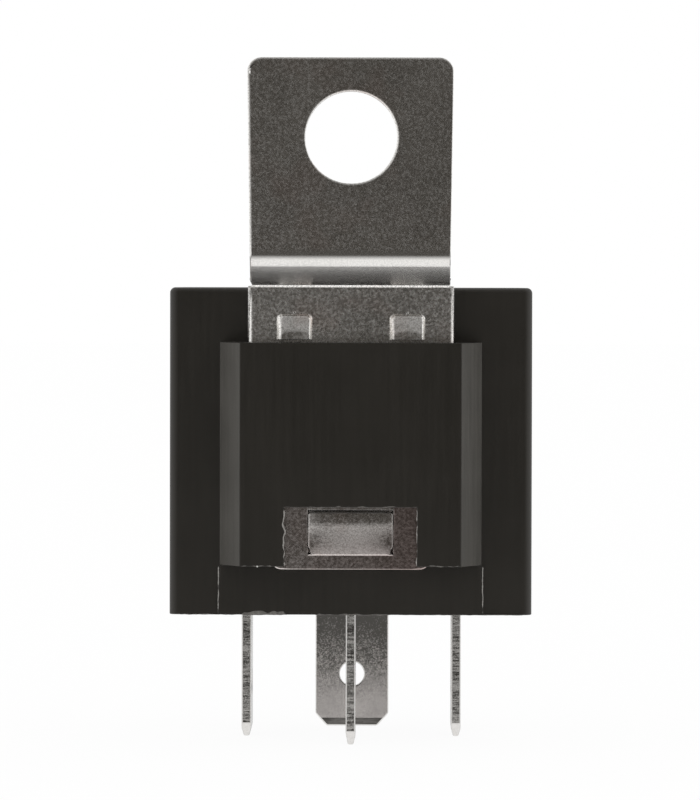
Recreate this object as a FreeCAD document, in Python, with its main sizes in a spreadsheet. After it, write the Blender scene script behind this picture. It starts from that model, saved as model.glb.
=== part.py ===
import FreeCAD, Part
import math
import os
import re
import Sketcher
from FreeCAD import Placement, Rotation, Vector

# An automotive relay with four blades and a steel fixing bracket.
# +Z is up, -Y is the side with the bracket, and the blades point down.
# The origin is the middle of the blade pattern, on the underside that meets a socket.
# All lengths are in millimetres and all angles in degrees.

DRIVING_SIZES = [
    ("case_width", 29.8, "case, left to right"),
    ("case_depth", 29.4, "case, front to back, without the pocket"),
    ("case_height", 26.9, "case, underside to top"),
    ("wall_thickness", 1.2, "side walls of the case"),
    ("roof_thickness", 1.3, "top of the case"),
    ("case_corner_radius", 0.7, "upright corners of the case"),
    ("case_top_radius", 0.45, "edges round the top of the case"),
    ("case_inner_radius", 0.6, "upright corners inside the case and round the base plate"),
    ("pocket_edge_radius", 0.12, "edges of the pocket's front"),
    ("pocket_depth", 3.0, "how far the bracket pocket stands out of the front wall"),
    ("pocket_front_width", 18.1, "flat front of the pocket"),
    ("pocket_root_width", 21.45, "pocket where it meets the front wall"),
    ("pocket_bottom", 4.1, "lower edge of the pocket above the underside"),
    ("pocket_top", 22.4, "upper edge of the pocket above the underside"),
    ("pad_depth", 0.15, "raised pad below the pocket"),
    ("pad_bottom_width", 21.8, "raised pad at the underside"),
    ("window_width", 10.9, "window in the pocket's front"),
    ("window_top", 8.95, "upper edge of that window"),
    ("snap_width", 5.0, "snap windows in the case's side walls"),
    ("snap_bottom", 1.3, "lower edge of the snap windows"),
    ("snap_height", 1.5, "height of the snap windows"),
    ("sheet_thickness", 1.0, "bracket sheet"),
    ("sheet_back_gap", 0.3, "sheet to the front wall"),
    ("sheet_side_gap", 0.15, "sheet to the pocket's sides"),
    ("plate_width", 16.86, "bracket's lower plate"),
    ("foot_width", 13.0, "narrow foot of the lower plate"),
    ("foot_stand_out", 0.32, "bracket below the pocket's lower edge"),
    ("foot_height", 5.0, "narrow foot, lowest edge to its shoulders"),
    ("foot_radius", 0.8, "lower corners of the foot"),
    ("joggle_gap", 2.13, "dimples to the start of the bracket's joggle"),
    ("joggle_angle", 46.0, "slope of the joggle from upright"),
    ("joggle_step", 2.04, "how far the lug stands forward of the lower plate"),
    ("bend_radius", 0.4, "inside radius of the folds"),
    ("notch_depth", 0.25, "relief notches beside the lower fold"),
    ("notch_height", 0.5, "height of those notches"),
    ("lug_top", 45.65, "top of the bracket's lug"),
    ("lug_top_width", 16.72, "lug at the top"),
    ("lug_root_width", 16.24, "lug at the joggle"),
    ("lug_corner_radius", 1.15, "upper corners of the lug"),
    ("lug_hole_diameter", 7.5, "fixing hole"),
    ("lug_hole_drop", 6.52, "centre of the fixing hole below the lug's top"),
    ("dimple_width", 2.9, "half-sheared dimples"),
    ("dimple_height", 2.1, "half-sheared dimples, bottom to top"),
    ("dimple_spacing", 9.24, "dimple to dimple"),
    ("dimple_depth", 0.55, "how far the dimples stand out at their lower edge"),
    ("dimple_step", 0.1, "how far the dimples stand out at their upper edge"),
    ("dimple_gap", 0.22, "dimples to the pocket's upper edge"),
    ("tongue_width", 6.96, "lanced tongue"),
    ("tongue_root", 1.17, "root of the tongue above the bracket's lowest edge"),
    ("latch_gap", 0.33, "free end of the tongue to the window's upper edge"),
    ("tongue_flat", 1.05, "upright end of the tongue"),
    ("tongue_step", 0.25, "how far the tongue stands out of the sheet"),
    ("tongue_angle", 45.0, "slope of the fold at the tongue's root from upright"),
    ("tongue_lean", 0.16, "how much of that step is the tongue's slight lean above its fold"),
    ("lance_gap", 0.05, "shear gap round the tongue"),
    ("blade_width", 6.3, "blades"),
    ("blade_thickness", 0.8, "blades"),
    ("blade_length", 11.05, "blades below the underside"),
    ("blade_corner_width", 0.97, "cut corners at the blade tips, across"),
    ("blade_corner_height", 1.1, "cut corners at the blade tips, along"),
    ("blade_coin_height", 0.7, "thinned band at the blade tips"),
    ("blade_coin_depth", 0.18, "how much each face is thinned there"),
    ("blade_hole_diameter", 2.1, "detent hole in the blades"),
    ("blade_hole_height", 4.5, "detent hole above the tips"),
    ("side_blade_spacing", 17.7, "blade 85 to blade 86"),
    ("blade_wall_gap", 5.05, "middles of blades 30 and 87 to the case's inner faces"),
    ("slot_gap", 0.05, "blade to its slot in the base"),
    ("base_thickness", 2.6, "base plate"),
    ("base_gap", 0.08, "base plate to the case"),
    ("pit_depth", 0.9, "cored pits under the base plate"),
    ("pit_inner_across", 4.7, "pits, nearest side to the middle, left to right"),
    ("pit_inner_along", 4.4, "pits, nearest side to the middle, front to back"),
    ("pit_rim", 1.3, "pits to the base plate's edge"),
    ("base_pad_height", 0.6, "rails on the base plate that the yoke sits on"),
    ("rail_place", 4.2, "middle of each rail to the middle"),
    ("rail_width", 2.6, "rails"),
    ("rail_end", 1.0, "rails short of the yoke's foot at each end"),
    ("snap_stand_out", 0.8, "snap wedges of the base plate"),
    ("snap_gap", 0.12, "snap wedges to their windows"),
    ("guide_height", 3.4, "guides beside blade 87, above the base plate"),
    ("guide_width", 1.3, "guides beside blade 87"),
    ("guide_depth", 2.2, "guides beside blade 87, front to back"),
    ("yoke_thickness", 2.0, "yoke"),
    ("yoke_width", 13.0, "yoke, left to right"),
    ("yoke_bend_radius", 0.6, "inside of the yoke's bend"),
    ("yoke_foot_inset", 0.5, "yoke's foot short of the bobbin's rear"),
    ("core_diameter", 5.0, "core inside the bobbin"),
    ("core_tail_diameter", 3.8, "core's tail through the yoke"),
    ("core_gap", 0.06, "core to the bobbin"),
    ("pole_diameter", 9.0, "pole head"),
    ("pole_height", 1.2, "pole head"),
    ("bobbin_flange", 1.0, "bobbin's flanges"),
    ("bobbin_tube_wall", 0.7, "bobbin's tube"),
    ("bobbin_width", 14.8, "flanges, left to right"),
    ("bobbin_front_gap", 0.7, "flanges to the yoke's leg"),
    ("bobbin_rear_gap", 1.95, "flanges to blade 87"),
    ("bobbin_corner_radius", 2.4, "flanges' corners"),
    ("bobbin_ear_width", 5.0, "ears that reach the coil blades' posts"),
    ("bobbin_ear_gap", 0.1, "ears to the posts"),
    ("winding_inset", 0.9, "copper winding inside the flanges' edges"),
    ("winding_gap", 0.03, "winding to the bobbin"),
    ("wrap_thickness", 0.15, "tape round the winding"),
    ("wrap_end_gap", 1.2, "tape to the flanges"),
    ("lead_diameter", 0.3, "winding ends"),
    ("lead_bend_radius", 0.45, "bends of the winding ends"),
    ("lead_stand_off", 0.6, "winding ends beside the posts, and beyond them"),
    ("post_width", 2.4, "posts of the coil blades"),
    ("post_height", 6.4, "posts above the base plate"),
    ("post_notch_width", 0.9, "notch for the winding end"),
    ("post_notch_depth", 1.2, "notch for the winding end"),
    ("shoulder_height", 0.8, "blade shoulders above the base plate"),
    ("rest_angle", 2.5, "armature lifted with the coil off"),
    ("rock_gap", 0.03, "armature to the yoke's rounded edge"),
    ("pole_gap", 0.05, "armature to the pole when pulled in"),
    ("armature_thickness", 1.6, "armature"),
    ("armature_width", 12.0, "armature over the coil"),
    ("armature_nose_width", 7.4, "armature's free end"),
    ("armature_tail", 1.0, "armature in front of its pivot"),
    ("armature_nose_length", 3.8, "armature's free end, from where it narrows"),
    ("armature_end_gap", 4.0, "armature's free end to the contacts' axis"),
    ("armature_edge_radius", 0.25, "blanked edges of the armature"),
    ("spring_thickness", 0.25, "contact leaf"),
    ("spring_width", 8.6, "contact leaf"),
    ("spring_bulge", 1.45, "leaf's loop in front of the yoke"),
    ("spring_loop_radius", 1.2, "leaf's loop, middle of the leaf"),
    ("spring_foot_gap", 0.3, "leaf's foot above blade 30's flange"),
    ("spring_rivet_margin", 1.9, "leaf's foot to its rivets"),
    ("spring_flat", 2.7, "those rivets to where the leaf leaves the yoke"),
    ("spring_jog_height", 2.4, "slope from there to the loop"),
    ("spring_end", 0.5, "leaf beyond the tail of its contact"),
    ("rivet_diameter", 1.8, "rivet shanks"),
    ("rivet_head_diameter", 2.7, "rivet heads"),
    ("rivet_head_height", 0.55, "rivet heads"),
    ("rivet_gap", 0.03, "rivets in their holes"),
    ("rivet_spacing", 5.2, "rivet pairs, left to right"),
    ("armature_rivet_place", 5.0, "pivot to the rivets through the armature"),
    ("terminal_rivet_place", 2.6, "blade 30's rivet beside the blade"),
    ("terminal_rivet_margin", 1.7, "blade 30's rivet below its flange's top"),
    ("front_blade_rise", 0.5, "blade 30 above the base plate, under the yoke"),
    ("flange_height", 6.7, "blade 30's flange above the base plate"),
    ("flange_reach", 5.0, "blade 30's flange beside the blade"),
    ("contact_diameter", 3.4, "contact heads"),
    ("contact_height", 1.0, "contact heads"),
    ("contact_dome", 0.25, "raised middle of the contact heads"),
    ("contact_stem_diameter", 1.7, "contact stems"),
    ("contact_tail_diameter", 2.4, "upset tails of the contacts"),
    ("contact_tail_height", 0.4, "upset tails of the contacts"),
    ("contact_wall_gap", 3.1, "contacts' axis to the case's rear wall"),
    ("contact_gap", 0.02, "contact to contact when pulled in"),
    ("carrier_width", 4.4, "blade 87's post and shelf"),
    ("roof_gap", 1.93, "armature's stop to the case's roof"),
    ("stop_gap", 0.04, "moving contact to its stop"),
    ("stop_thickness", 0.8, "armature's stop"),
    ("stop_width", 5.0, "armature's stop"),
    ("stop_back_gap", 0.4, "stop to the case's rear wall"),
    ("stop_reach", 3.9, "stop over the moving contact"),
    ("stop_root", 1.4, "stop's root in the base plate"),
]

DOCUMENT = FreeCAD.newDocument("automotive_relay")
SHEET = DOCUMENT.addObject("Spreadsheet::Sheet", "Sizes")
PARTS = []

# Levels and faces that several pieces share, each worked out from the driving sizes
CASE_FRONT = "(0 - case_depth / 2)"
PAD_FRONT = f"({CASE_FRONT} - pad_depth)"
SHEET_BACK = f"({CASE_FRONT} - sheet_back_gap)"
SHEET_FRONT = f"({SHEET_BACK} - sheet_thickness)"
POCKET_FRONT = f"({CASE_FRONT} - pocket_depth)"
SLOT_FRONT = f"({SHEET_FRONT} - sheet_side_gap)"
LUG_BACK = f"({SHEET_BACK} - joggle_step)"
LUG_FRONT = f"({SHEET_FRONT} - joggle_step)"
INNER_HALF_WIDTH = "(case_width / 2 - wall_thickness)"
INNER_HALF_DEPTH = "(case_depth / 2 - wall_thickness)"
SIDE_BLADE = "(side_blade_spacing / 2)"
HALF_BLADE = "(blade_thickness / 2)"
BLADE_PLACE = f"({INNER_HALF_DEPTH} - blade_wall_gap)"
BLADE_87_FRONT = f"({BLADE_PLACE} - {HALF_BLADE})"
SEAT_LEVEL = "(base_thickness + base_pad_height)"
FOOT_BOTTOM = "(pocket_bottom - foot_stand_out)"
TONGUE_BOTTOM = f"({FOOT_BOTTOM} + tongue_root)"
TONGUE_TOP = "(window_top - latch_gap)"
DIMPLE_BOTTOM = "(pocket_top + dimple_gap)"
DIMPLE_TOP = f"({DIMPLE_BOTTOM} + dimple_height)"
JOGGLE_BOTTOM = f"({DIMPLE_TOP} + joggle_gap)"
# Blade 30 folds round into a flange that lies on the front of the yoke's leg
YOKE_FRONT = f"(blade_thickness - {BLADE_PLACE} - blade_width / 2)"
YOKE_BACK = f"({YOKE_FRONT} + yoke_thickness)"
FLANGE_TOP = "(base_thickness + flange_height)"
TERMINAL_RIVET_LEVEL = f"({FLANGE_TOP} - terminal_rivet_margin)"
SPRING_FOOT = f"({FLANGE_TOP} + spring_foot_gap)"
SPRING_RIVET_LEVEL = f"({SPRING_FOOT} + spring_rivet_margin)"
# The coil fills the room between the yoke's leg and blade 87
BOBBIN_FRONT = f"({YOKE_BACK} + bobbin_front_gap)"
BOBBIN_REAR = f"({BLADE_87_FRONT} - bobbin_rear_gap)"
COIL_AXIS = f"(({BOBBIN_FRONT} + {BOBBIN_REAR}) / 2)"
HALF_BOBBIN = f"(({BOBBIN_REAR} - {BOBBIN_FRONT}) / 2)"
WINDING_RADIUS = f"(min({HALF_BOBBIN}; bobbin_width / 2) - winding_inset)"
YOKE_REAR = f"({BOBBIN_REAR} - yoke_foot_inset)"
PIVOT_PLACE = f"({YOKE_FRONT} + yoke_thickness / 2)"
CONTACT_AXIS = f"({INNER_HALF_DEPTH} - contact_wall_gap)"
# Places along the armature and heights above the pivot, in the armature's own frame
CONTACT_PLACE = f"({CONTACT_AXIS} - {PIVOT_PLACE})"
ARMATURE_REACH = f"({CONTACT_PLACE} - armature_end_gap)"
ARMATURE_UNDER = "(yoke_thickness / 2 + rock_gap)"
ARMATURE_UPPER = f"({ARMATURE_UNDER} + armature_thickness)"
SPRING_UPPER = f"({ARMATURE_UPPER} + spring_thickness)"
CONTACT_FACE = f"({ARMATURE_UPPER} - contact_height - contact_dome)"
CONTACT_TAIL = f"({SPRING_UPPER} + contact_tail_height)"
# The stop hangs below the roof, the lifted armature below the stop, and the coil fills the rest
STOP_TOP = "(case_height - roof_thickness - roof_gap)"
STOP_UNDER = f"({STOP_TOP} - stop_thickness)"
PIVOT_LEVEL = (
    f"({STOP_UNDER} - stop_gap - {CONTACT_TAIL} * cos(rest_angle)"
    f" - ({CONTACT_PLACE} + contact_tail_diameter / 2) * sin(rest_angle))"
)
# The leg's upper edge is a half round about the pivot, so the armature rocks clear of it
POLE_FACE = f"({PIVOT_LEVEL} + yoke_thickness / 2 + rock_gap - pole_gap)"
BOBBIN_BOTTOM = f"({SEAT_LEVEL} + yoke_thickness)"
BOBBIN_TOP = f"({POLE_FACE} - pole_height)"
# Blade 87's contact stands under the moving one, as the armature lies when pulled in
SHELF_TOP = f"({PIVOT_LEVEL} + {CONTACT_FACE} - contact_gap - contact_dome - contact_height)"
SHELF_BOTTOM = f"({SHELF_TOP} - blade_thickness)"
STOP_BACK = f"({INNER_HALF_DEPTH} - stop_back_gap)"
STOP_FRONT = f"({STOP_BACK} - stop_thickness)"


def sized(expression):
    """The expression with each size's name bound to its cell."""
    return re.sub(r"[a-z]+(_[a-z0-9]+)+", r"Sizes.\g<0>", expression)


def value(expression):
    """The expression's number, from the sheet as it stands."""
    return float(SHEET.evalExpression(sized(expression)))


def fill_sheet():
    """Write every driving size into the sheet, with its name as the cell's alias."""
    for row, (alias, number, meaning) in enumerate(DRIVING_SIZES, start=1):
        SHEET.set(f"A{row}", meaning)
        SHEET.set(f"B{row}", str(number))
        SHEET.setAlias(f"B{row}", alias)
    DOCUMENT.recompute()


def new_body(label):
    """An empty body for one piece of the relay."""
    body = DOCUMENT.addObject("PartDesign::Body", label)
    body.Label = label
    PARTS.append(body)
    return body


# Drawing planes: role, and whether the plane's normal runs against its global axis
PLANES = {"XY": ("XY_Plane", False), "XZ": ("XZ_Plane", True), "YZ": ("YZ_Plane", False)}


def new_sketch(body, name, plane, level):
    """A sketch on one of the body's own planes, moved to a level along the global axis."""
    role, against = PLANES[plane]
    sketch = body.newObject("Sketcher::SketchObject", name)
    origin_plane = next(f for f in body.Origin.OriginFeatures if f.Role == role)
    sketch.AttachmentSupport = [(origin_plane, "")]
    sketch.MapMode = "FlatFace"
    offset = f"0 - ({level})" if against else level
    sketch.setExpression("AttachmentOffset.Base.z", sized(offset))
    return sketch


def place_point(sketch, geometry, vertex, name, across, up):
    """Hold one point of a sketch at two expressions measured from the sketch's origin."""
    for kind, expression in (("DistanceX", across), ("DistanceY", up)):
        number = sketch.addConstraint(
            Sketcher.Constraint(kind, -1, 1, geometry, vertex, value(expression))
        )
        alias = f"{name}_{kind[-1].lower()}"
        sketch.renameConstraint(number, alias)
        sketch.setExpression(f"Constraints.{alias}", sized(expression))


def draw_outline(sketch, corners):
    """A closed outline of straight sides through corners given as pairs of expressions."""
    points = [Vector(value(across), value(up), 0) for across, up in corners]
    count = len(points)
    first = sketch.GeometryCount
    for index in range(count):
        side = Part.LineSegment(points[index], points[(index + 1) % count])
        sketch.addGeometry(side, False)
    for index in range(count):
        following = first + (index + 1) % count
        sketch.addConstraint(Sketcher.Constraint("Coincident", first + index, 2, following, 1))
    for index, (across, up) in enumerate(corners):
        place_point(sketch, first + index, 1, f"corner_{first + index}", across, up)


def draw_circle(sketch, across, up, radius):
    """A circle whose centre and radius are expressions."""
    centre = Vector(value(across), value(up), 0)
    circle = Part.Circle(centre, Vector(0, 0, 1), value(radius))
    number = sketch.addGeometry(circle, False)
    place_point(sketch, number, 3, f"centre_{number}", across, up)
    held = sketch.addConstraint(Sketcher.Constraint("Radius", number, value(radius)))
    sketch.renameConstraint(held, f"radius_{number}")
    sketch.setExpression(f"Constraints.radius_{number}", sized(radius))


def span(low_across, high_across, low_up, high_up):
    """The four corners of an upright rectangle."""
    return [
        (low_across, low_up),
        (high_across, low_up),
        (high_across, high_up),
        (low_across, high_up),
    ]


def centred(width, low_up, high_up):
    """The four corners of a rectangle centred on the sketch's upright axis."""
    return span(f"0 - {width} / 2", f"{width} / 2", low_up, high_up)


def extrude(body, kind, name, plane, low, high, outlines, circles):
    """Pad or pocket outlines and circles between two levels across their plane."""
    start_high = PLANES[plane][1] == (kind == "Pad")
    before = body.Tip.Shape.Volume if body.Tip else 0.0
    sketch = new_sketch(body, f"{name}_sketch", plane, high if start_high else low)
    for corners in outlines:
        draw_outline(sketch, corners)
    for across, up, radius in circles:
        draw_circle(sketch, across, up, radius)
    feature = body.newObject(f"PartDesign::{kind}", name)
    feature.Profile = sketch
    feature.setExpression("Length", sized(f"({high}) - ({low})"))
    DOCUMENT.recompute()
    change = body.Shape.Volume - before
    if change * (1 if kind == "Pad" else -1) <= 0:
        raise RuntimeError(f"{name} changed nothing")
    return feature


def add(body, name, plane, low, high, *outlines, circles=()):
    """Add material between two levels along the axis across the plane."""
    return extrude(body, "Pad", name, plane, low, high, outlines, circles)


def cut(body, name, plane, low, high, *outlines, circles=()):
    """Take material away between two levels along the axis across the plane."""
    return extrude(body, "Pocket", name, plane, low, high, outlines, circles)


def turn(body, name, outline):
    """Revolve an outline, drawn as radius and height, about the body's Z axis."""
    sketch = new_sketch(body, f"{name}_sketch", "XZ", "0")
    draw_outline(sketch, outline)
    revolution = body.newObject("PartDesign::Revolution", name)
    revolution.Profile = sketch
    revolution.ReferenceAxis = (sketch, ["V_Axis"])
    revolution.Angle = 360
    DOCUMENT.recompute()
    return revolution


def edges_at(body, **places):
    """Names of the tip's edges that lie in planes across the given axes.

    Each place is an axis, x, y or z, with a list of expressions, any of which will do.
    """
    near = 1e-4
    wanted = {axis: [value(place) for place in listed] for axis, listed in places.items()}
    names = []
    for number, edge in enumerate(body.Tip.Shape.Edges, start=1):
        ends = [vertex.Point for vertex in edge.Vertexes]
        if all(
            any(all(abs(getattr(end, axis) - place) < near for end in ends) for place in listed)
            for axis, listed in wanted.items()
        ):
            names.append(f"Edge{number}")
    return names


def round_edges(body, name, radius, edges):
    """Fillet the named edges of the body's tip."""
    base = body.Tip
    fillet = body.newObject("PartDesign::Fillet", name)
    fillet.Base = (base, edges)
    fillet.setExpression("Radius", sized(radius))
    DOCUMENT.recompute()
    return fillet


def both(expression):
    """The expression and its opposite, for what lies on both sides of the middle."""
    return [expression, f"0 - {expression}"]


def mirrored(low_across, high_across, low_up, high_up):
    """A rectangle and its mirror image across the sketch's upright axis."""
    return (
        span(low_across, high_across, low_up, high_up),
        span(f"0 - {high_across}", f"0 - {low_across}", low_up, high_up),
    )


def place_on_coil(body):
    """Stand a piece, drawn about its own axis, on the coil's axis."""
    body.setExpression("Placement.Base.y", sized(COIL_AXIS))


# Turns about X; the angle itself comes from the sheet
LIFT_AXIS = Placement(Vector(0, 0, 0), Rotation(Vector(1, 0, 0), 1))


def place_on_pivot(body):
    """Hang a piece, drawn from the pivot, on the pivot with the armature lifted."""
    body.Placement = LIFT_AXIS
    body.setExpression("Placement.Base.y", sized(PIVOT_PLACE))
    body.setExpression("Placement.Base.z", sized(PIVOT_LEVEL))
    body.setExpression("Placement.Rotation.Angle", sized("rest_angle"))


def sweep(face, points, radii):
    """The solid that a face leaves as it follows straight runs, turned by an arc at each corner."""
    runs = []
    place = points[0]
    for before, corner, after, radius in zip(points, points[1:], points[2:], radii):
        back = (before - corner).normalize()
        ahead = (after - corner).normalize()
        half_angle = back.getAngle(ahead) / 2
        reach = radius / math.tan(half_angle)
        run = corner + back * reach - place
        runs.append(face.extrude(run))
        face.translate(run)
        centre = corner + (back + ahead).normalize() * (radius / math.sin(half_angle))
        axis = ahead.cross(back).normalize()
        turned = math.degrees(math.pi - 2 * half_angle)
        runs.append(face.revolve(centre, axis, turned))
        face.rotate(centre, axis, turned)
        place = corner + ahead * reach
    runs.append(face.extrude(points[-1] - place))
    return runs[0].multiFuse(runs[1:]).removeSplitter().Solids[0]


def round_wire(points, radii, diameter):
    """A solid wire of the given diameter that follows straight runs and arcs."""
    circle = Part.Circle(points[0], points[1] - points[0], diameter / 2)
    return sweep(Part.Face(Part.Wire([circle.toShape()])), points, radii)


def new_shape(label, shape):
    """A piece whose form is a sweep along a bent path."""
    piece = DOCUMENT.addObject("Part::Feature", label)
    piece.Label = label
    piece.Shape = shape
    PARTS.append(piece)
    return piece


def make_case():
    """The moulded cover: an open box with the bracket pocket on its front wall."""
    body = new_body("case")
    half_width = "case_width / 2"
    half_depth = "case_depth / 2"
    root = f"{CASE_FRONT} + wall_thickness / 2"
    add(body, "cover_block", "XY", "0", "case_height", centred("case_width", CASE_FRONT, half_depth))
    corners = edges_at(body, x=both(half_width), y=both(half_depth))
    round_edges(body, "cover_corners", "case_corner_radius", corners)
    round_edges(body, "cover_top_edges", "case_top_radius", edges_at(body, z=["case_height"]))
    pocket = [
        ("0 - pocket_root_width / 2", root),
        ("0 - pocket_root_width / 2", CASE_FRONT),
        ("0 - pocket_front_width / 2", POCKET_FRONT),
        ("pocket_front_width / 2", POCKET_FRONT),
        ("pocket_root_width / 2", CASE_FRONT),
        ("pocket_root_width / 2", root),
    ]
    add(body, "bracket_pocket", "XY", "pocket_bottom", "pocket_top", pocket)
    front_edges = edges_at(body, x=both("pocket_front_width / 2"), y=[POCKET_FRONT])
    round_edges(body, "pocket_edges", "pocket_edge_radius", front_edges)
    pad = [
        ("0 - pad_bottom_width / 2", "0"),
        ("pad_bottom_width / 2", "0"),
        ("pocket_root_width / 2", "pocket_bottom"),
        ("0 - pocket_root_width / 2", "pocket_bottom"),
    ]
    add(body, "front_pad", "XZ", PAD_FRONT, root, pad)
    inner_width = "(case_width - 2 * wall_thickness)"
    inner = centred(inner_width, f"0 - {INNER_HALF_DEPTH}", INNER_HALF_DEPTH)
    cut(body, "cover_hollow", "XY", "0", "case_height - roof_thickness", inner)
    inner_corners = edges_at(body, x=both(INNER_HALF_WIDTH), y=both(INNER_HALF_DEPTH))
    round_edges(body, "hollow_corners", "case_inner_radius", inner_corners)
    slot = centred("(plate_width + 2 * sheet_side_gap)", SLOT_FRONT, CASE_FRONT)
    cut(body, "bracket_slot", "XY", "pocket_bottom", "pocket_top", slot)
    window = centred("window_width", "pocket_bottom", "window_top")
    cut(body, "latch_window", "XZ", POCKET_FRONT, SLOT_FRONT, window)
    snap = centred("snap_width", "snap_bottom", "snap_bottom + snap_height")
    cut(body, "snap_windows", "YZ", f"0 - {half_width}", half_width, snap)


def blade_outline(middle, upper):
    """A flat blade about a middle line, with cut corners at its tip.

    The corners of what stands above the base plate follow from right to left.
    """
    low = "0 - blade_length"
    cut_level = "blade_corner_height - blade_length"
    left = f"{middle} - blade_width / 2"
    right = f"{middle} + blade_width / 2"
    return [
        (left, cut_level),
        (f"{left} + blade_corner_width", low),
        (f"{right} - blade_corner_width", low),
        (right, cut_level),
        *upper,
    ]


def coin_wedges(low_face, high_face):
    """The two slivers that are pressed off the faces of a blade's tip, seen edge on."""
    tip = "0 - blade_length"
    band = "blade_coin_height - blade_length"
    return (
        [(low_face, tip), (f"{low_face} + blade_coin_depth", tip), (low_face, band)],
        [(high_face, tip), (high_face, band), (f"{high_face} - blade_coin_depth", tip)],
    )


def drill_blade(body, plane, low_face, high_face, middle):
    """The round detent hole near a blade's tip."""
    hole = (middle, "blade_hole_height - blade_length", "blade_hole_diameter / 2")
    cut(body, "detent_hole", plane, low_face, high_face, circles=[hole])


def make_side_terminal(label, side):
    """A coil blade, seen edge on from the front, with its notched post."""
    body = new_body(label)
    middle = f"({side} * {SIDE_BLADE})"
    low_face = f"{middle} - {HALF_BLADE}"
    high_face = f"{middle} + {HALF_BLADE}"
    shoulder = "base_thickness + shoulder_height"
    top = "base_thickness + post_height"
    notch_floor = f"{top} - post_notch_depth"
    upper = [
        ("blade_width / 2", shoulder),
        ("post_width / 2", shoulder),
        ("post_width / 2", top),
        ("post_notch_width / 2", top),
        ("post_notch_width / 2", notch_floor),
        ("0 - post_notch_width / 2", notch_floor),
        ("0 - post_notch_width / 2", top),
        ("0 - post_width / 2", top),
        ("0 - post_width / 2", shoulder),
        ("0 - blade_width / 2", shoulder),
    ]
    add(body, "blade", "YZ", low_face, high_face, blade_outline("0", upper))
    wedges = coin_wedges(low_face, high_face)
    cut(body, "coined_tip", "XZ", "0 - blade_width / 2", "blade_width / 2", *wedges)
    drill_blade(body, "YZ", low_face, high_face, "0")


def make_terminal_30():
    """The front blade, seen edge on, folded round into a flange on the yoke's leg."""
    body = new_body("terminal_30")
    middle = f"(0 - {BLADE_PLACE})"
    top = "base_thickness + front_blade_rise"
    front = f"{middle} - blade_width / 2"
    back = f"{middle} + blade_width / 2"
    low_face = f"0 - {HALF_BLADE}"
    add(body, "blade", "YZ", low_face, HALF_BLADE, blade_outline(middle, [(back, top), (front, top)]))
    flange = span(low_face, "flange_reach", "base_thickness", FLANGE_TOP)
    add(body, "flange", "XZ", front, YOKE_FRONT, flange)
    round_edges(body, "fold", "bend_radius", edges_at(body, x=[low_face], y=[front]))
    cut(body, "coined_tip", "XZ", front, back, *coin_wedges(low_face, HALF_BLADE))
    drill_blade(body, "YZ", low_face, HALF_BLADE, middle)
    hole = ("terminal_rivet_place", TERMINAL_RIVET_LEVEL, "rivet_diameter / 2 + rivet_gap")
    cut(body, "rivet_hole", "XZ", front, YOKE_FRONT, circles=[hole])


def make_terminal_87():
    """The rear blade, seen broad side on, with a post and a shelf for the fixed contact."""
    body = new_body("terminal_87")
    front = BLADE_87_FRONT
    back = f"{BLADE_PLACE} + {HALF_BLADE}"
    shoulder = "base_thickness + shoulder_height"
    upper = [
        ("blade_width / 2", shoulder),
        ("carrier_width / 2", shoulder),
        ("carrier_width / 2", SHELF_TOP),
        ("0 - carrier_width / 2", SHELF_TOP),
        ("0 - carrier_width / 2", shoulder),
        ("0 - blade_width / 2", shoulder),
    ]
    add(body, "blade", "XZ", front, back, blade_outline("0", upper))
    shelf_back = f"{CONTACT_AXIS} + contact_diameter / 2"
    shelf = centred("carrier_width", SHELF_BOTTOM, SHELF_TOP)
    add(body, "shelf", "XZ", front, shelf_back, shelf)
    outside = edges_at(body, y=[front], z=[SHELF_TOP])
    round_edges(body, "fold_outside", "bend_radius + blade_thickness", outside)
    round_edges(body, "fold_inside", "bend_radius", edges_at(body, y=[back], z=[SHELF_BOTTOM]))
    wedges = coin_wedges(front, back)
    cut(body, "coined_tip", "YZ", "0 - blade_width / 2", "blade_width / 2", *wedges)
    drill_blade(body, "XZ", front, back, "0")
    hole = ("0", CONTACT_AXIS, "contact_stem_diameter / 2 + rivet_gap")
    cut(body, "contact_hole", "XY", SHELF_BOTTOM, SHELF_TOP, circles=[hole])


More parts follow.
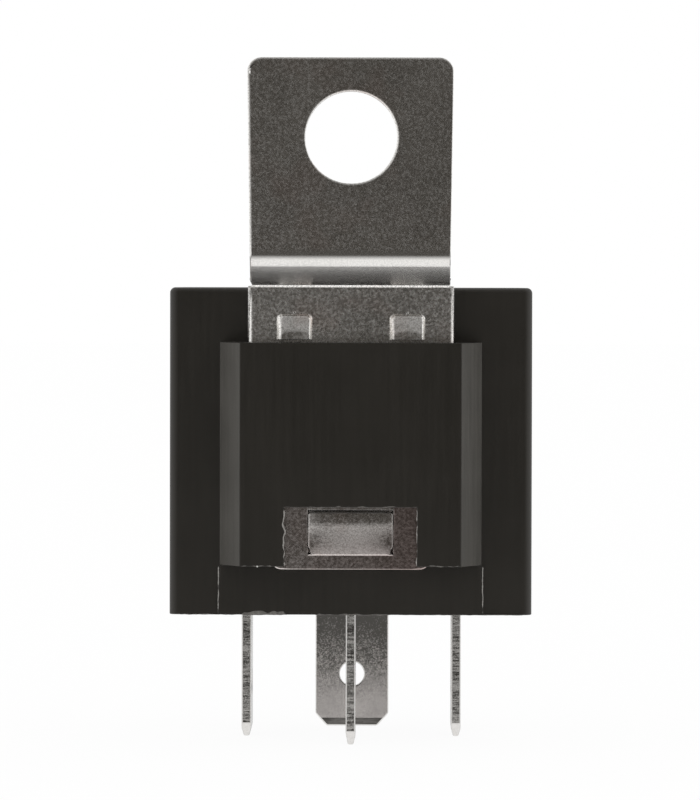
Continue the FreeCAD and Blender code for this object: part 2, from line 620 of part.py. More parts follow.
def make_base_plate():
    """The moulded plate that closes the case, with slots, rails, guides, pits and snaps."""
    body = new_body("base_plate")
    half_width = f"({INNER_HALF_WIDTH} - base_gap)"
    half_depth = f"({INNER_HALF_DEPTH} - base_gap)"
    plate = span(f"0 - {half_width}", half_width, f"0 - {half_depth}", half_depth)
    add(body, "plate", "XY", "0", "base_thickness", plate)
    corners = edges_at(body, x=both(half_width), y=both(half_depth))
    round_edges(body, "plate_corners", "case_inner_radius", corners)
    rails = mirrored(
        "(rail_place - rail_width / 2)",
        "(rail_place + rail_width / 2)",
        f"{YOKE_BACK} + rail_end",
        f"{YOKE_REAR} - rail_end",
    )
    add(body, "yoke_rails", "XY", "base_thickness", SEAT_LEVEL, *rails)
    guides = mirrored(
        "(blade_width / 2 + slot_gap)",
        "(blade_width / 2 + slot_gap + guide_width)",
        f"{BLADE_PLACE} - guide_depth / 2",
        f"{BLADE_PLACE} + guide_depth / 2",
    )
    add(body, "blade_guides", "XY", "base_thickness", "base_thickness + guide_height", *guides)
    across = "(blade_width / 2 + slot_gap)"
    along = f"({HALF_BLADE} + slot_gap)"
    slots = [
        *mirrored(f"({SIDE_BLADE} - {along})", f"({SIDE_BLADE} + {along})", f"0 - {across}", across),
        span(f"0 - {along}", along, f"0 - {BLADE_PLACE} - {across}", f"{across} - {BLADE_PLACE}"),
        span(f"0 - {across}", across, f"{BLADE_PLACE} - {along}", f"{BLADE_PLACE} + {along}"),
    ]
    cut(body, "blade_slots", "XY", "0", "base_thickness", *slots)
    stop = centred("(stop_width + 2 * slot_gap)", f"{STOP_FRONT} - slot_gap", f"{STOP_BACK} + slot_gap")
    cut(body, "stop_slot", "XY", "base_thickness - stop_root - slot_gap", "base_thickness", stop)
    pit_outer = f"({half_width} - pit_rim)"
    pit_end = f"({half_depth} - pit_rim)"
    pits = [
        *mirrored("pit_inner_across", pit_outer, "pit_inner_along", pit_end),
        *mirrored("pit_inner_across", pit_outer, f"0 - {pit_end}", "0 - pit_inner_along"),
    ]
    cut(body, "cored_pits", "XY", "0", "pit_depth", *pits)
    wedge_bottom = "snap_bottom + snap_gap"
    wedge_top = "(snap_bottom + snap_height - snap_gap)"
    wedge = [
        (half_width, wedge_bottom),
        (f"({half_width} + snap_stand_out)", wedge_bottom),
        (f"({half_width} + snap_stand_out)", "snap_bottom + snap_height / 3"),
        (half_width, wedge_top),
        (f"({half_width} - pit_rim / 2)", wedge_top),
        (f"({half_width} - pit_rim / 2)", wedge_bottom),
    ]
    mirror_wedge = [(f"0 - {x}", z) for x, z in wedge]
    wedge_end = "(snap_width / 2 - snap_gap)"
    add(body, "snap_wedges", "XZ", f"0 - {wedge_end}", wedge_end, wedge, mirror_wedge)


def joggle_rise():
    """Height of the joggle's web between its two sharp corners."""
    return "(joggle_step / tan(joggle_angle))"


def make_mounting_bracket():
    """The steel bracket: lug with its hole, joggle, lower plate with dimples and tongue."""
    body = new_body("mounting_bracket")
    bend_end = f"{JOGGLE_BOTTOM} + {joggle_rise()}"
    # The back face turns a little lower than the front face, so the sheet keeps its thickness
    shift = "sheet_thickness * tan(joggle_angle / 2)"
    profile = [
        (SHEET_BACK, FOOT_BOTTOM),
        (SHEET_BACK, f"{JOGGLE_BOTTOM} + {shift}"),
        (LUG_BACK, f"{bend_end} + {shift}"),
        (LUG_BACK, "lug_top"),
        (LUG_FRONT, "lug_top"),
        (LUG_FRONT, bend_end),
        (SHEET_FRONT, JOGGLE_BOTTOM),
        (SHEET_FRONT, FOOT_BOTTOM),
    ]
    blank_half = "(max(plate_width; lug_top_width; lug_root_width; foot_width) / 2)"
    add(body, "folded_sheet", "YZ", f"0 - {blank_half}", blank_half, profile)
    inside = edges_at(body, y=[SHEET_FRONT], z=[JOGGLE_BOTTOM]) + edges_at(
        body, y=[LUG_BACK], z=[f"{bend_end} + {shift}"]
    )
    round_edges(body, "inside_bends", "bend_radius", inside)
    outside = edges_at(body, y=[SHEET_BACK], z=[f"{JOGGLE_BOTTOM} + {shift}"]) + edges_at(
        body, y=[LUG_FRONT], z=[bend_end]
    )
    round_edges(body, "outside_bends", "bend_radius + sheet_thickness", outside)
    blank_sides(body, blank_half, bend_end)
    top_corners = edges_at(body, x=both("lug_top_width / 2"), z=["lug_top"])
    round_edges(body, "lug_corners", "lug_corner_radius", top_corners)
    foot_corners = edges_at(body, x=both("foot_width / 2"), z=[FOOT_BOTTOM])
    round_edges(body, "foot_corners", "foot_radius", foot_corners)
    hole = ("0", "lug_top - lug_hole_drop", "lug_hole_diameter / 2")
    cut(body, "fixing_hole", "XZ", LUG_FRONT, LUG_BACK, circles=[hole])
    press_dimples(body)
    lance_tongue(body)


def blank_sides(body, blank_half, bend_end):
    """Trim both sides of the folded sheet to the blank's outline."""
    plate = "plate_width / 2"
    beyond = f"({blank_half} + sheet_thickness)"
    neck = "lug_root_width / 2"
    below = f"{FOOT_BOTTOM} - sheet_thickness"
    above = "lug_top + sheet_thickness"
    shoulder = f"{FOOT_BOTTOM} + foot_height"
    notch_top = f"{JOGGLE_BOTTOM} + notch_height"
    outline = [
        (beyond, below),
        ("foot_width / 2", below),
        ("foot_width / 2", shoulder),
        (plate, f"{shoulder} + (plate_width - foot_width) / 2"),
        (plate, JOGGLE_BOTTOM),
        (f"{neck} - notch_depth", JOGGLE_BOTTOM),
        (f"{neck} - notch_depth", notch_top),
        (neck, f"{notch_top} + notch_depth"),
        (neck, bend_end),
        ("lug_top_width / 2", "lug_top"),
        ("lug_top_width / 2", above),
        (beyond, above),
    ]
    mirror_outline = [(f"0 - ({x})", z) for x, z in outline]
    front = f"{LUG_FRONT} - sheet_thickness"
    cut(body, "blank_right", "XZ", front, CASE_FRONT, outline)
    cut(body, "blank_left", "XZ", front, CASE_FRONT, mirror_outline)


def press_dimples(body):
    """Two half-sheared stops: ramps that rise downward and rest just above the pocket's upper edge."""
    inner = "(dimple_spacing / 2 - dimple_width / 2)"
    outer = "(dimple_spacing / 2 + dimple_width / 2)"
    ramp = [
        (SHEET_FRONT, DIMPLE_BOTTOM),
        (f"{SHEET_FRONT} - dimple_depth", DIMPLE_BOTTOM),
        (f"{SHEET_FRONT} - dimple_step", DIMPLE_TOP),
        (SHEET_FRONT, DIMPLE_TOP),
    ]
    recess = [
        (SHEET_BACK, DIMPLE_BOTTOM),
        (f"{SHEET_BACK} - dimple_depth", DIMPLE_BOTTOM),
        (f"{SHEET_BACK} - dimple_step", DIMPLE_TOP),
        (SHEET_BACK, DIMPLE_TOP),
    ]
    for side, low, high in (("right", inner, outer), ("left", f"0 - {outer}", f"0 - {inner}")):
        add(body, f"dimple_{side}", "YZ", low, high, ramp)
        cut(body, f"dimple_recess_{side}", "YZ", low, high, recess)


def lance_tongue(body):
    """The tongue that is sheared on three sides, folded forward at its root and latches in the window."""
    opening_width = "(tongue_width + 2 * lance_gap)"
    opening_low = f"{TONGUE_BOTTOM} + tongue_step"
    opening = centred(opening_width, opening_low, f"{TONGUE_TOP} + lance_gap")
    cut(body, "lanced_opening", "XZ", SHEET_FRONT, SHEET_BACK, opening)
    # The fold carries the tongue most of the way out, and the rest is a slight lean
    folded_out = "(tongue_step - tongue_lean)"
    fold_top = f"{TONGUE_BOTTOM} + {folded_out} / tan(tongue_angle)"
    flat_low = f"{TONGUE_TOP} - tongue_flat"
    back_shift = "sheet_thickness * tan(tongue_angle / 2)"
    tongue = [
        (SHEET_BACK, TONGUE_BOTTOM),
        (SHEET_BACK, f"{TONGUE_BOTTOM} + {back_shift}"),
        (f"{SHEET_BACK} - {folded_out}", f"{fold_top} + {back_shift}"),
        (f"{SHEET_BACK} - tongue_step", flat_low),
        (f"{SHEET_BACK} - tongue_step", TONGUE_TOP),
        (f"{SHEET_FRONT} - tongue_step", TONGUE_TOP),
        (f"{SHEET_FRONT} - tongue_step", flat_low),
        (f"{SHEET_FRONT} - {folded_out}", fold_top),
        (SHEET_FRONT, TONGUE_BOTTOM),
    ]
    add(body, "tongue", "YZ", "0 - tongue_width / 2", "tongue_width / 2", tongue)
    tongue_corners = edges_at(body, x=both("tongue_width / 2"), z=[TONGUE_TOP])
    round_edges(body, "tongue_corners", "bend_radius", tongue_corners)


def make_yoke():
    """The L-shaped iron frame, whose leg ends in the half round that the armature rocks on."""
    body = new_body("yoke")
    low_side = "0 - yoke_width / 2"
    high_side = "yoke_width / 2"
    foot_top = f"{SEAT_LEVEL} + yoke_thickness"
    profile = [
        (YOKE_FRONT, SEAT_LEVEL),
        (YOKE_REAR, SEAT_LEVEL),
        (YOKE_REAR, foot_top),
        (YOKE_BACK, foot_top),
        (YOKE_BACK, PIVOT_LEVEL),
        (YOKE_FRONT, PIVOT_LEVEL),
    ]
    add(body, "frame", "YZ", low_side, high_side, profile)
    round_edges(body, "bend_inside", "yoke_bend_radius", edges_at(body, y=[YOKE_BACK], z=[foot_top]))
    outside = edges_at(body, y=[YOKE_FRONT], z=[SEAT_LEVEL])
    round_edges(body, "bend_outside", "yoke_bend_radius + yoke_thickness", outside)
    crown = (PIVOT_PLACE, PIVOT_LEVEL, "yoke_thickness / 2")
    add(body, "rocking_edge", "YZ", low_side, high_side, circles=[crown])
    tail_hole = ("0", COIL_AXIS, "core_tail_diameter / 2 + rivet_gap")
    cut(body, "core_hole", "XY", SEAT_LEVEL, foot_top, circles=[tail_hole])
    radius = "rivet_diameter / 2 + rivet_gap"
    holes = [
        ("rivet_spacing / 2", SPRING_RIVET_LEVEL, radius),
        ("0 - rivet_spacing / 2", SPRING_RIVET_LEVEL, radius),
        ("terminal_rivet_place", TERMINAL_RIVET_LEVEL, radius),
    ]
    cut(body, "rivet_holes", "XZ", YOKE_FRONT, YOKE_BACK, circles=holes)


def make_core():
    """The iron core: pole head, shank through the bobbin and tail through the yoke."""
    body = new_body("core")
    turn(body, "core_form", [
        ("0", SEAT_LEVEL),
        ("core_tail_diameter / 2", SEAT_LEVEL),
        ("core_tail_diameter / 2", BOBBIN_BOTTOM),
        ("core_diameter / 2", BOBBIN_BOTTOM),
        ("core_diameter / 2", BOBBIN_TOP),
        ("pole_diameter / 2", BOBBIN_TOP),
        ("pole_diameter / 2", POLE_FACE),
        ("0", POLE_FACE),
    ])
    place_on_coil(body)


def make_bobbin():
    """The moulded spool: tube, two flanges, and ears that reach the coil blades' posts."""
    body = new_body("bobbin")
    bore = "(core_diameter / 2 + core_gap)"
    tube = f"({bore} + bobbin_tube_wall)"
    turn(body, "tube", [
        (bore, BOBBIN_BOTTOM),
        (tube, BOBBIN_BOTTOM),
        (tube, BOBBIN_TOP),
        (bore, BOBBIN_TOP),
    ])
    flange = centred("bobbin_width", f"0 - {HALF_BOBBIN}", HALF_BOBBIN)
    hole = ("0", "0", bore)
    lower_top = f"{BOBBIN_BOTTOM} + bobbin_flange"
    add(body, "lower_flange", "XY", BOBBIN_BOTTOM, lower_top, flange, circles=[hole])
    upper_bottom = f"{BOBBIN_TOP} - bobbin_flange"
    add(body, "upper_flange", "XY", upper_bottom, BOBBIN_TOP, flange, circles=[hole])
    corners = edges_at(body, x=both("bobbin_width / 2"), y=both(HALF_BOBBIN))
    round_edges(body, "flange_corners", "bobbin_corner_radius", corners)
    ears = mirrored(
        "(bobbin_width / 2 - bobbin_flange)",
        f"({SIDE_BLADE} - {HALF_BLADE} - bobbin_ear_gap)",
        f"0 - {COIL_AXIS} - bobbin_ear_width / 2",
        f"bobbin_ear_width / 2 - {COIL_AXIS}",
    )
    add(body, "ears", "XY", BOBBIN_BOTTOM, lower_top, *ears)
    place_on_coil(body)


def winding_ends():
    """Lower and upper level of the copper between the bobbin's flanges."""
    low = f"({BOBBIN_BOTTOM} + bobbin_flange + winding_gap)"
    high = f"({BOBBIN_TOP} - bobbin_flange - winding_gap)"
    return low, high


def make_coil_winding():
    """The copper, wound to a plain cylinder between the flanges."""
    body = new_body("coil_winding")
    low, high = winding_ends()
    inner = "(core_diameter / 2 + core_gap + bobbin_tube_wall + winding_gap)"
    turn(body, "turns", [
        (inner, low),
        (WINDING_RADIUS, low),
        (WINDING_RADIUS, high),
        (inner, high),
    ])
    place_on_coil(body)


def make_coil_wrap():
    """The tape round the winding."""
    body = new_body("coil_wrap")
    low, high = winding_ends()
    inner = f"({WINDING_RADIUS} + winding_gap)"
    turn(body, "tape", [
        (inner, f"{low} + wrap_end_gap"),
        (f"{inner} + wrap_thickness", f"{low} + wrap_end_gap"),
        (f"{inner} + wrap_thickness", f"{high} - wrap_end_gap"),
        (inner, f"{high} - wrap_end_gap"),
    ])
    place_on_coil(body)


def make_coil_lead(label, side):
    """A winding end, led out over the bobbin's ear into the notch of a coil blade's post."""
    low, _ = winding_ends()
    thickness = value("lead_diameter")
    start = value(f"{WINDING_RADIUS} + winding_gap") + thickness / 2
    notch_level = value("base_thickness + post_height - post_notch_depth + lead_diameter")
    points = [
        Vector(side * start, value(COIL_AXIS), value(f"{low} + wrap_end_gap / 2")),
        Vector(side * value(f"{SIDE_BLADE} - {HALF_BLADE} - lead_stand_off"), 0, notch_level),
        Vector(side * value(f"{SIDE_BLADE} + {HALF_BLADE} + lead_stand_off"), 0, notch_level),
    ]
    new_shape(label, round_wire(points, [value("lead_bend_radius")], thickness))


def make_armature():
    """The iron plate that rocks on the yoke's leg, drawn from the pivot."""
    body = new_body("armature")
    shoulder = f"({ARMATURE_REACH} - armature_nose_length)"
    right = [
        ("armature_width / 2", "0 - armature_tail"),
        ("armature_width / 2", shoulder),
        ("armature_nose_width / 2", f"{shoulder} + (armature_width - armature_nose_width) / 2"),
        ("armature_nose_width / 2", ARMATURE_REACH),
    ]
    left = [(f"0 - {x}", y) for x, y in reversed(right)]
    add(body, "plate", "XY", ARMATURE_UNDER, ARMATURE_UPPER, right + left)
    round_edges(body, "blanked_edges", "armature_edge_radius", edges_at(body, z=[ARMATURE_UPPER]))
    radius = "rivet_diameter / 2 + rivet_gap"
    holes = [(x, "armature_rivet_place", radius) for x in both("rivet_spacing / 2")]
    cut(body, "rivet_holes", "XY", ARMATURE_UNDER, ARMATURE_UPPER, circles=holes)
    place_on_pivot(body)


def lifted(along, above):
    """A point of the armature's frame, as the armature stands with the coil off."""
    angle = math.radians(value("rest_angle"))
    return Vector(
        0,
        value(PIVOT_PLACE) + along * math.cos(angle) - above * math.sin(angle),
        value(PIVOT_LEVEL) + along * math.sin(angle) + above * math.cos(angle),
    )


def make_contact_spring():
    """The leaf that hinges the armature, returns it and carries the moving contact."""
    thickness = value("spring_thickness")
    width = value("spring_width")
    bend = value("bend_radius") + thickness / 2
    loop = value("spring_loop_radius")
    above = value(ARMATURE_UPPER) + thickness / 2
    leg = value(YOKE_FRONT) - thickness / 2
    bulge = value(YOKE_FRONT) - value("spring_bulge")
    start = lifted(0, above)
    end = lifted(value(f"{CONTACT_PLACE} + contact_tail_diameter / 2 + spring_end"), above)
    slope = (end.z - start.z) / (end.y - start.y)
    jog = value(f"{SPRING_RIVET_LEVEL} + spring_flat")
    points = [
        Vector(0, leg, value(SPRING_FOOT)),
        Vector(0, leg, jog),
        Vector(0, bulge, jog + value("spring_jog_height")),
        Vector(0, bulge, start.z + (bulge - start.y) * slope),
        end,
    ]
    corner = points[0] - Vector(width / 2, thickness / 2, 0)
    section = Part.makePolygon([
        corner,
        corner + Vector(width, 0, 0),
        corner + Vector(width, thickness, 0),
        corner + Vector(0, thickness, 0),
        corner,
    ])
    leaf = sweep(Part.Face(section), points, [bend, bend, loop])
    reach = value("rivet_head_diameter")
    rivet = value("rivet_diameter / 2 + rivet_gap")
    upward = lifted(0, 1) - lifted(0, 0)
    holes = []
    for side in (-1, 1):
        across = Vector(side * value("rivet_spacing / 2"), 0, 0)
        foot = Vector(0, leg - reach, value(SPRING_RIVET_LEVEL)) + across
        holes.append(Part.makeCylinder(rivet, 2 * reach, foot, Vector(0, 1, 0)))
        arm = lifted(value("armature_rivet_place"), above - reach) + across
        holes.append(Part.makeCylinder(rivet, 2 * reach, arm, upward))
    stem = value("contact_stem_diameter / 2 + rivet_gap")
    tip = lifted(value(CONTACT_PLACE), above - reach)
    holes.append(Part.makeCylinder(stem, 2 * reach, tip, upward))
    new_shape("contact_spring", leaf.cut(holes))


def make_rivet(label, plane, across, up, low, high, heads):
    """A rivet between two faces, with a head beyond each listed one: low, high or both."""
    body = new_body(label)
    shank = (across, up, "rivet_diameter / 2")
    add(body, "shank", plane, low, high, circles=[shank])
    head = (across, up, "rivet_head_diameter / 2")
    if "low" in heads:
        add(body, "low_head", plane, f"{low} - rivet_head_height", low, circles=[head])
    if "high" in heads:
        add(body, "high_head", plane, high, f"{high} + rivet_head_height", circles=[head])
    return body


def make_rivets():
    """Two rivets in the armature, two in the yoke's leg, and the one that holds blade 30."""
    for label, side in (("left", -1), ("right", 1)):
        across = f"({side} * rivet_spacing / 2)"
        on_armature = make_rivet(
            f"armature_rivet_{label}", "XY", across, "armature_rivet_place",
            ARMATURE_UNDER, SPRING_UPPER, ("high",),
        )
        place_on_pivot(on_armature)
        leaf_face = f"({YOKE_FRONT} - spring_thickness)"
        make_rivet(
            f"spring_rivet_{label}", "XZ", across, SPRING_RIVET_LEVEL,
            leaf_face, YOKE_BACK, ("low", "high"),
        )
    flange_face = f"({YOKE_FRONT} - blade_thickness)"
    make_rivet(
        "terminal_rivet", "XZ", "terminal_rivet_place", TERMINAL_RIVET_LEVEL,
        flange_face, YOKE_BACK, ("low", "high"),
    )


def contact_outline(face, seat, tail_start, tail_end):
    """Half section of a contact rivet from its raised face to its upset tail."""
    rim = f"{seat} + ({face} - {seat}) * contact_height / (contact_height + contact_dome)"
    return [
        ("0", face),
        ("contact_diameter / 4", face),
        ("contact_diameter / 2", rim),
        ("contact_diameter / 2", seat),
        ("contact_stem_diameter / 2", seat),
        ("contact_stem_diameter / 2", tail_start),
        ("contact_tail_diameter / 2", tail_start),
        ("contact_tail_diameter / 2", tail_end),
        ("0", tail_end),
    ]


def make_contacts():
    """The moving contact under the leaf's end, and the fixed one on blade 87's shelf."""
    moving = new_body("moving_contact")
    turn(moving, "contact", contact_outline(
        f"({CONTACT_FACE})", f"({ARMATURE_UPPER})", SPRING_UPPER, CONTACT_TAIL,
    ))
    moving.Placement = LIFT_AXIS
    across = f"{PIVOT_PLACE} + {CONTACT_PLACE} * cos(rest_angle)"
    above = f"{PIVOT_LEVEL} + {CONTACT_PLACE} * sin(rest_angle)"
    moving.setExpression("Placement.Base.y", sized(across))
    moving.setExpression("Placement.Base.z", sized(above))
    moving.setExpression("Placement.Rotation.Angle", sized("rest_angle"))
    fixed = new_body("fixed_contact")
    face = f"({SHELF_TOP} + contact_height + contact_dome)"
    tail_end = f"{SHELF_BOTTOM} - contact_tail_height"
    turn(fixed, "contact", contact_outline(face, SHELF_TOP, SHELF_BOTTOM, tail_end))
    fixed.setExpression("Placement.Base.y", sized(CONTACT_AXIS))


def make_armature_stop():
    """The bent tab that the moving contact rests against with the coil off."""
    body = new_body("armature_stop")
    tip = f"{STOP_BACK} - stop_reach"
    profile = [
        (STOP_FRONT, "base_thickness - stop_root"),
        (STOP_BACK, "base_thickness - stop_root"),
        (STOP_BACK, STOP_TOP),
        (tip, STOP_TOP),
        (tip, STOP_UNDER),
        (STOP_FRONT, STOP_UNDER),
    ]
    add(body, "tab", "YZ", "0 - stop_width / 2", "stop_width / 2", profile)
    round_edges(body, "fold_inside", "bend_radius", edges_at(body, y=[STOP_FRONT], z=[STOP_UNDER]))
    outside = edges_at(body, y=[STOP_BACK], z=[STOP_TOP])
    round_edges(body, "fold_outside", "bend_radius + stop_thickness", outside)


def check_and_write():
    """Stop on any failed object or bad shape, then write one STEP file for each piece."""
    DOCUMENT.recompute()
    for item in DOCUMENT.Objects:
        if "Invalid" in item.State or "Error" in item.State:
            raise RuntimeError(f"{item.Label} failed: {item.State}")
    for piece in PARTS:
        if piece.Shape.isNull() or not piece.Shape.isValid():
            raise RuntimeError(f"{piece.Label} has no valid shape")
    os.makedirs("parts", exist_ok=True)
    for piece in PARTS:
        piece.Shape.exportStep(f"parts/{piece.Label}.step")
        print(f"{piece.Label}: {len(piece.Shape.Solids)} solid, {piece.Shape.Volume:.2f} mm3")


fill_sheet()
make_case()
make_base_plate()
make_mounting_bracket()
make_terminal_30()
make_side_terminal("terminal_85", 1)
make_side_terminal("terminal_86", -1)
make_terminal_87()
make_yoke()
make_core()
make_bobbin()
make_coil_winding()
make_coil_wrap()
make_coil_lead("coil_lead_85", 1)
make_coil_lead("coil_lead_86", -1)
make_armature()
make_contact_spring()
make_rivets()
make_contacts()
make_armature_stop()
check_and_write()
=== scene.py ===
import math

import bmesh
import bpy
from mathutils import Matrix, Vector, noise
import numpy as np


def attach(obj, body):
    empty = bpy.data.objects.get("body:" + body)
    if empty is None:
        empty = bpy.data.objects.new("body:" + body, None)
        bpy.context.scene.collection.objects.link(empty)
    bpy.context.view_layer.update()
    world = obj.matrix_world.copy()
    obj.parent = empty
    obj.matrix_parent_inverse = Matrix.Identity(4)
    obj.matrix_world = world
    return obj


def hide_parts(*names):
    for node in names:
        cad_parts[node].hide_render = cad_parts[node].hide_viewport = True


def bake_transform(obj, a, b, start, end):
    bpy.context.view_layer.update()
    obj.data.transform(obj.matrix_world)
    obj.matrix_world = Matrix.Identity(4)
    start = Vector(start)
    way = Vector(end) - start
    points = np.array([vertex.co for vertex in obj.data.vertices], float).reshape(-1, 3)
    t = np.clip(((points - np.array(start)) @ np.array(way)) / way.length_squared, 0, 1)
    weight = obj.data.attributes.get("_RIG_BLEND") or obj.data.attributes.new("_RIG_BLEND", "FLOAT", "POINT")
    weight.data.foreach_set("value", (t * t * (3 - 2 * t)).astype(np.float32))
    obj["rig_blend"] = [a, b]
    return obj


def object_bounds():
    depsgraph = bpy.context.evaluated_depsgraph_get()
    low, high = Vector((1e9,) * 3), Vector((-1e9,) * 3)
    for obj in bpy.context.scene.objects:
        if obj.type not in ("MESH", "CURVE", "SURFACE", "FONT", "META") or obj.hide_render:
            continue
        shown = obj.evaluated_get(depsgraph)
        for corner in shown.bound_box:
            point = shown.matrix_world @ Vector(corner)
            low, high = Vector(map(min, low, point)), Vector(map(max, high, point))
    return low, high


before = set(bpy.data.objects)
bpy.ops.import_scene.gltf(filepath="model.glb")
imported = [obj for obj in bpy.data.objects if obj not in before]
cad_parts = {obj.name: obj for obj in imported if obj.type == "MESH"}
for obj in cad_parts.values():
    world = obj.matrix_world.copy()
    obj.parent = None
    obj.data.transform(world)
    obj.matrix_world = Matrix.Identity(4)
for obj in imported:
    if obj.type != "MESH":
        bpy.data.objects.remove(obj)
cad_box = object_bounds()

# The looks of an automotive relay: its materials, softened edges, mould flash, studio and camera.
# +Z is up and -Y is the bracket side. Sizes and places of the relay are in millimetres, which MM
# turns into the metres of the meshes. Those of the studio are in metres.

MM = 0.001
ACROSS, AHEAD, UP = 0, 1, 2
HOUSING = "housing"


# ---- small helpers for shader nodes


def new_material(name):
    """A fresh material with its Principled shader."""
    material = bpy.data.materials.new(name)
    material.use_nodes = True
    tree = material.node_tree
    shader = tree.nodes["Principled BSDF"]
    return material, tree, shader


def new_metal(name):
    """A fresh material that is all metal."""
    material, tree, shader = new_material(name)
    shader.inputs["Metallic"].default_value = 1.0
    return material, tree, shader


def plug_in(tree, shader, colour, rough, normal):
    """The shader takes its colour, roughness and normal from these sockets."""
    for name, socket in (("Base Color", colour), ("Roughness", rough), ("Normal", normal)):
        tree.links.new(socket, shader.inputs[name])


def place_of(tree):
    """Coordinates in metres in the object's own frame."""
    return tree.nodes.new("ShaderNodeTexCoord").outputs["Object"]


def parts_of(tree, vector):
    """The three parts of a position: across, ahead and height."""
    node = tree.nodes.new("ShaderNodeSeparateXYZ")
    tree.links.new(vector, node.inputs[0])
    return node.outputs


def stretched(tree, vector, scale):
    """The coordinates scaled by a factor along each axis."""
    node = tree.nodes.new("ShaderNodeMapping")
    node.inputs["Scale"].default_value = scale
    tree.links.new(vector, node.inputs["Vector"])
    return node.outputs["Vector"]


def noise_of(tree, vector, scale, detail=2.0, rough=0.5):
    """Smooth noise between 0 and 1 with features of about 1/scale metres."""
    node = tree.nodes.new("ShaderNodeTexNoise")
    node.inputs["Scale"].default_value = scale
    node.inputs["Detail"].default_value = detail
    node.inputs["Roughness"].default_value = rough
    tree.links.new(vector, node.inputs["Vector"])
    return node.outputs["Fac"]


def ranged(tree, value, ends, to=(0, 1)):
    """The value carried from one range to another, and held at its ends."""
    node = tree.nodes.new("ShaderNodeMapRange")
    for socket, number in zip(("From Min", "From Max", "To Min", "To Max"), (*ends, *to)):
        node.inputs[socket].default_value = number
    tree.links.new(value, node.inputs["Value"])
    return node.outputs["Result"]


def ranged_mm(tree, length, ends, to=(0, 1)):
    """The same for a length, with its ends in millimetres."""
    return ranged(tree, length, (ends[0] * MM, ends[1] * MM), to)


def joined(tree, operation, first, second=0):
    """Two values put together by one sum."""
    node = tree.nodes.new("ShaderNodeMath")
    node.operation = operation
    for socket, value in zip(node.inputs, (first, second)):
        if isinstance(value, (int, float)):
            socket.default_value = value
        else:
            tree.links.new(value, socket)
    return node.outputs["Value"]


def mixed(tree, first, second, share):
    """Two values in one, of which the first has the given share."""
    return joined(tree, "ADD", joined(tree, "MULTIPLY", first, share),
                  joined(tree, "MULTIPLY", second, 1 - share))


def band(tree, height, starts, ends, level):
    """A value that rises to a level over one span of heights and falls back to 0 over another."""
    return joined(tree, "MULTIPLY", ranged_mm(tree, height, starts, (0, level)),
                  ranged_mm(tree, height, ends, (1, 0)))


def between(tree, factor, first, second):
    """A colour between two others, which are colours or sockets."""
    node = tree.nodes.new("ShaderNodeMix")
    node.data_type = "RGBA"
    tree.links.new(factor, node.inputs["Factor"])
    for socket, colour in ((node.inputs["A"], first), (node.inputs["B"], second)):
        if isinstance(colour, tuple):
            socket.default_value = (*colour, 1)
        else:
            tree.links.new(colour, socket)
    return node.outputs["Result"]


def bumped(tree, height, depth, under=None):
    """A normal from a height between 0 and 1, with its relief in millimetres."""
    node = tree.nodes.new("ShaderNodeBump")
    node.inputs["Strength"].default_value = 1.0
    node.inputs["Distance"].default_value = depth * MM
    tree.links.new(height, node.inputs["Height"])
    if under is not None:
        tree.links.new(under, node.inputs["Normal"])
    return node.outputs["Normal"]


def mix_shaders(tree, share, first, second):
    """The material's surface is a mix of two shaders."""
    mix = tree.nodes.new("ShaderNodeMixShader")
    tree.links.new(share, mix.inputs["Fac"])
    tree.links.new(first, mix.inputs[1])
    tree.links.new(second, mix.inputs[2])
    tree.links.new(mix.outputs["Shader"], tree.nodes["Material Output"].inputs["Surface"])


# ---- materials

PLASTIC_IOR = 1.5
FLOW_STRETCH = (1, 1, 0.04)
SHEAR_STRETCH = (0.12, 0.12, 1)

# Painted shade on the plating, in a brownish tone. In the window it covers the slots beside and
# below the tongue. On the tongue it fades with height, over the window it ends, and to the right,
# away from the light, it grows
WARM_STAIN = (0.8, 0.68, 0.63)
BROWN_PAINTED_SHADE = (0.42, 0.34, 0.32)
TONGUE_SHADE_HEIGHTS = (5.4, 7.6)
TONGUE_SHADE = (0.75, 0.35)
SLOT_SIDE = (3.53, 3.56)
SLOT_FOOT = (4.95, 5.05)
WINDOW_SHADE_TOP = (9.2, 9.4)
WINDOW_SHADE_SPAN = (-5, 5)
WINDOW_SHADE_SHARES = (0.5, 0.95)

# The joggle's metal is worked by its bends: heights over which its dullness starts and ends, and
# those over which the plating's peel is lost and comes back, with the share that is left
WORKED_ZINC = (0.78, 0.765, 0.74)
WEB_STARTS = (27.2, 27.5)
WEB_ENDS = (28.5, 28.8)
WEB_DULL = 0.07
CALM_STARTS = (27.1, 27.5)
CALM_ENDS = (29.7, 30.1)
CALM_SHARE = 0.2

# Heights over which the sheet's extra dullness starts and ends, and how much it is
SHEET_STARTS = (9.2, 11.0)
SHEET_ENDS = (26.6, 27.0)
SHEET_DULL = 0.055

# Heights at which the broad faces of the blades are free of painted shade and fully darkened by
# it, where they leave the case
BLADE_UNSHADED = -8.8
BLADE_FULLY_SHADED = -1.5


def moulded_plastic(name, dark, light, rough, grain_depth):
    """Moulded plastic: fine satin grain, faint upright flow streaks and soft cloudiness."""
    material, tree, shader = new_material(name)
    place = place_of(tree)
    grain = noise_of(tree, place, 9000, detail=3.0, rough=0.6)
    clouds = noise_of(tree, place, 160)
    streaks = noise_of(tree, stretched(tree, place, FLOW_STRETCH), 3200, rough=0.6)
    mottle = mixed(tree, clouds, streaks, 0.5)
    colour = between(tree, ranged(tree, mottle, (0.35, 0.65)), dark, light)
    wear = joined(tree, "ADD", ranged(tree, mottle, (0.3, 0.7), (rough - 0.04, rough + 0.04)),
                  ranged(tree, grain, (0.3, 0.7), (-0.05, 0.05)))
    plug_in(tree, shader, colour, wear, bumped(tree, grain, grain_depth))
    shader.inputs["IOR"].default_value = PLASTIC_IOR
    return material


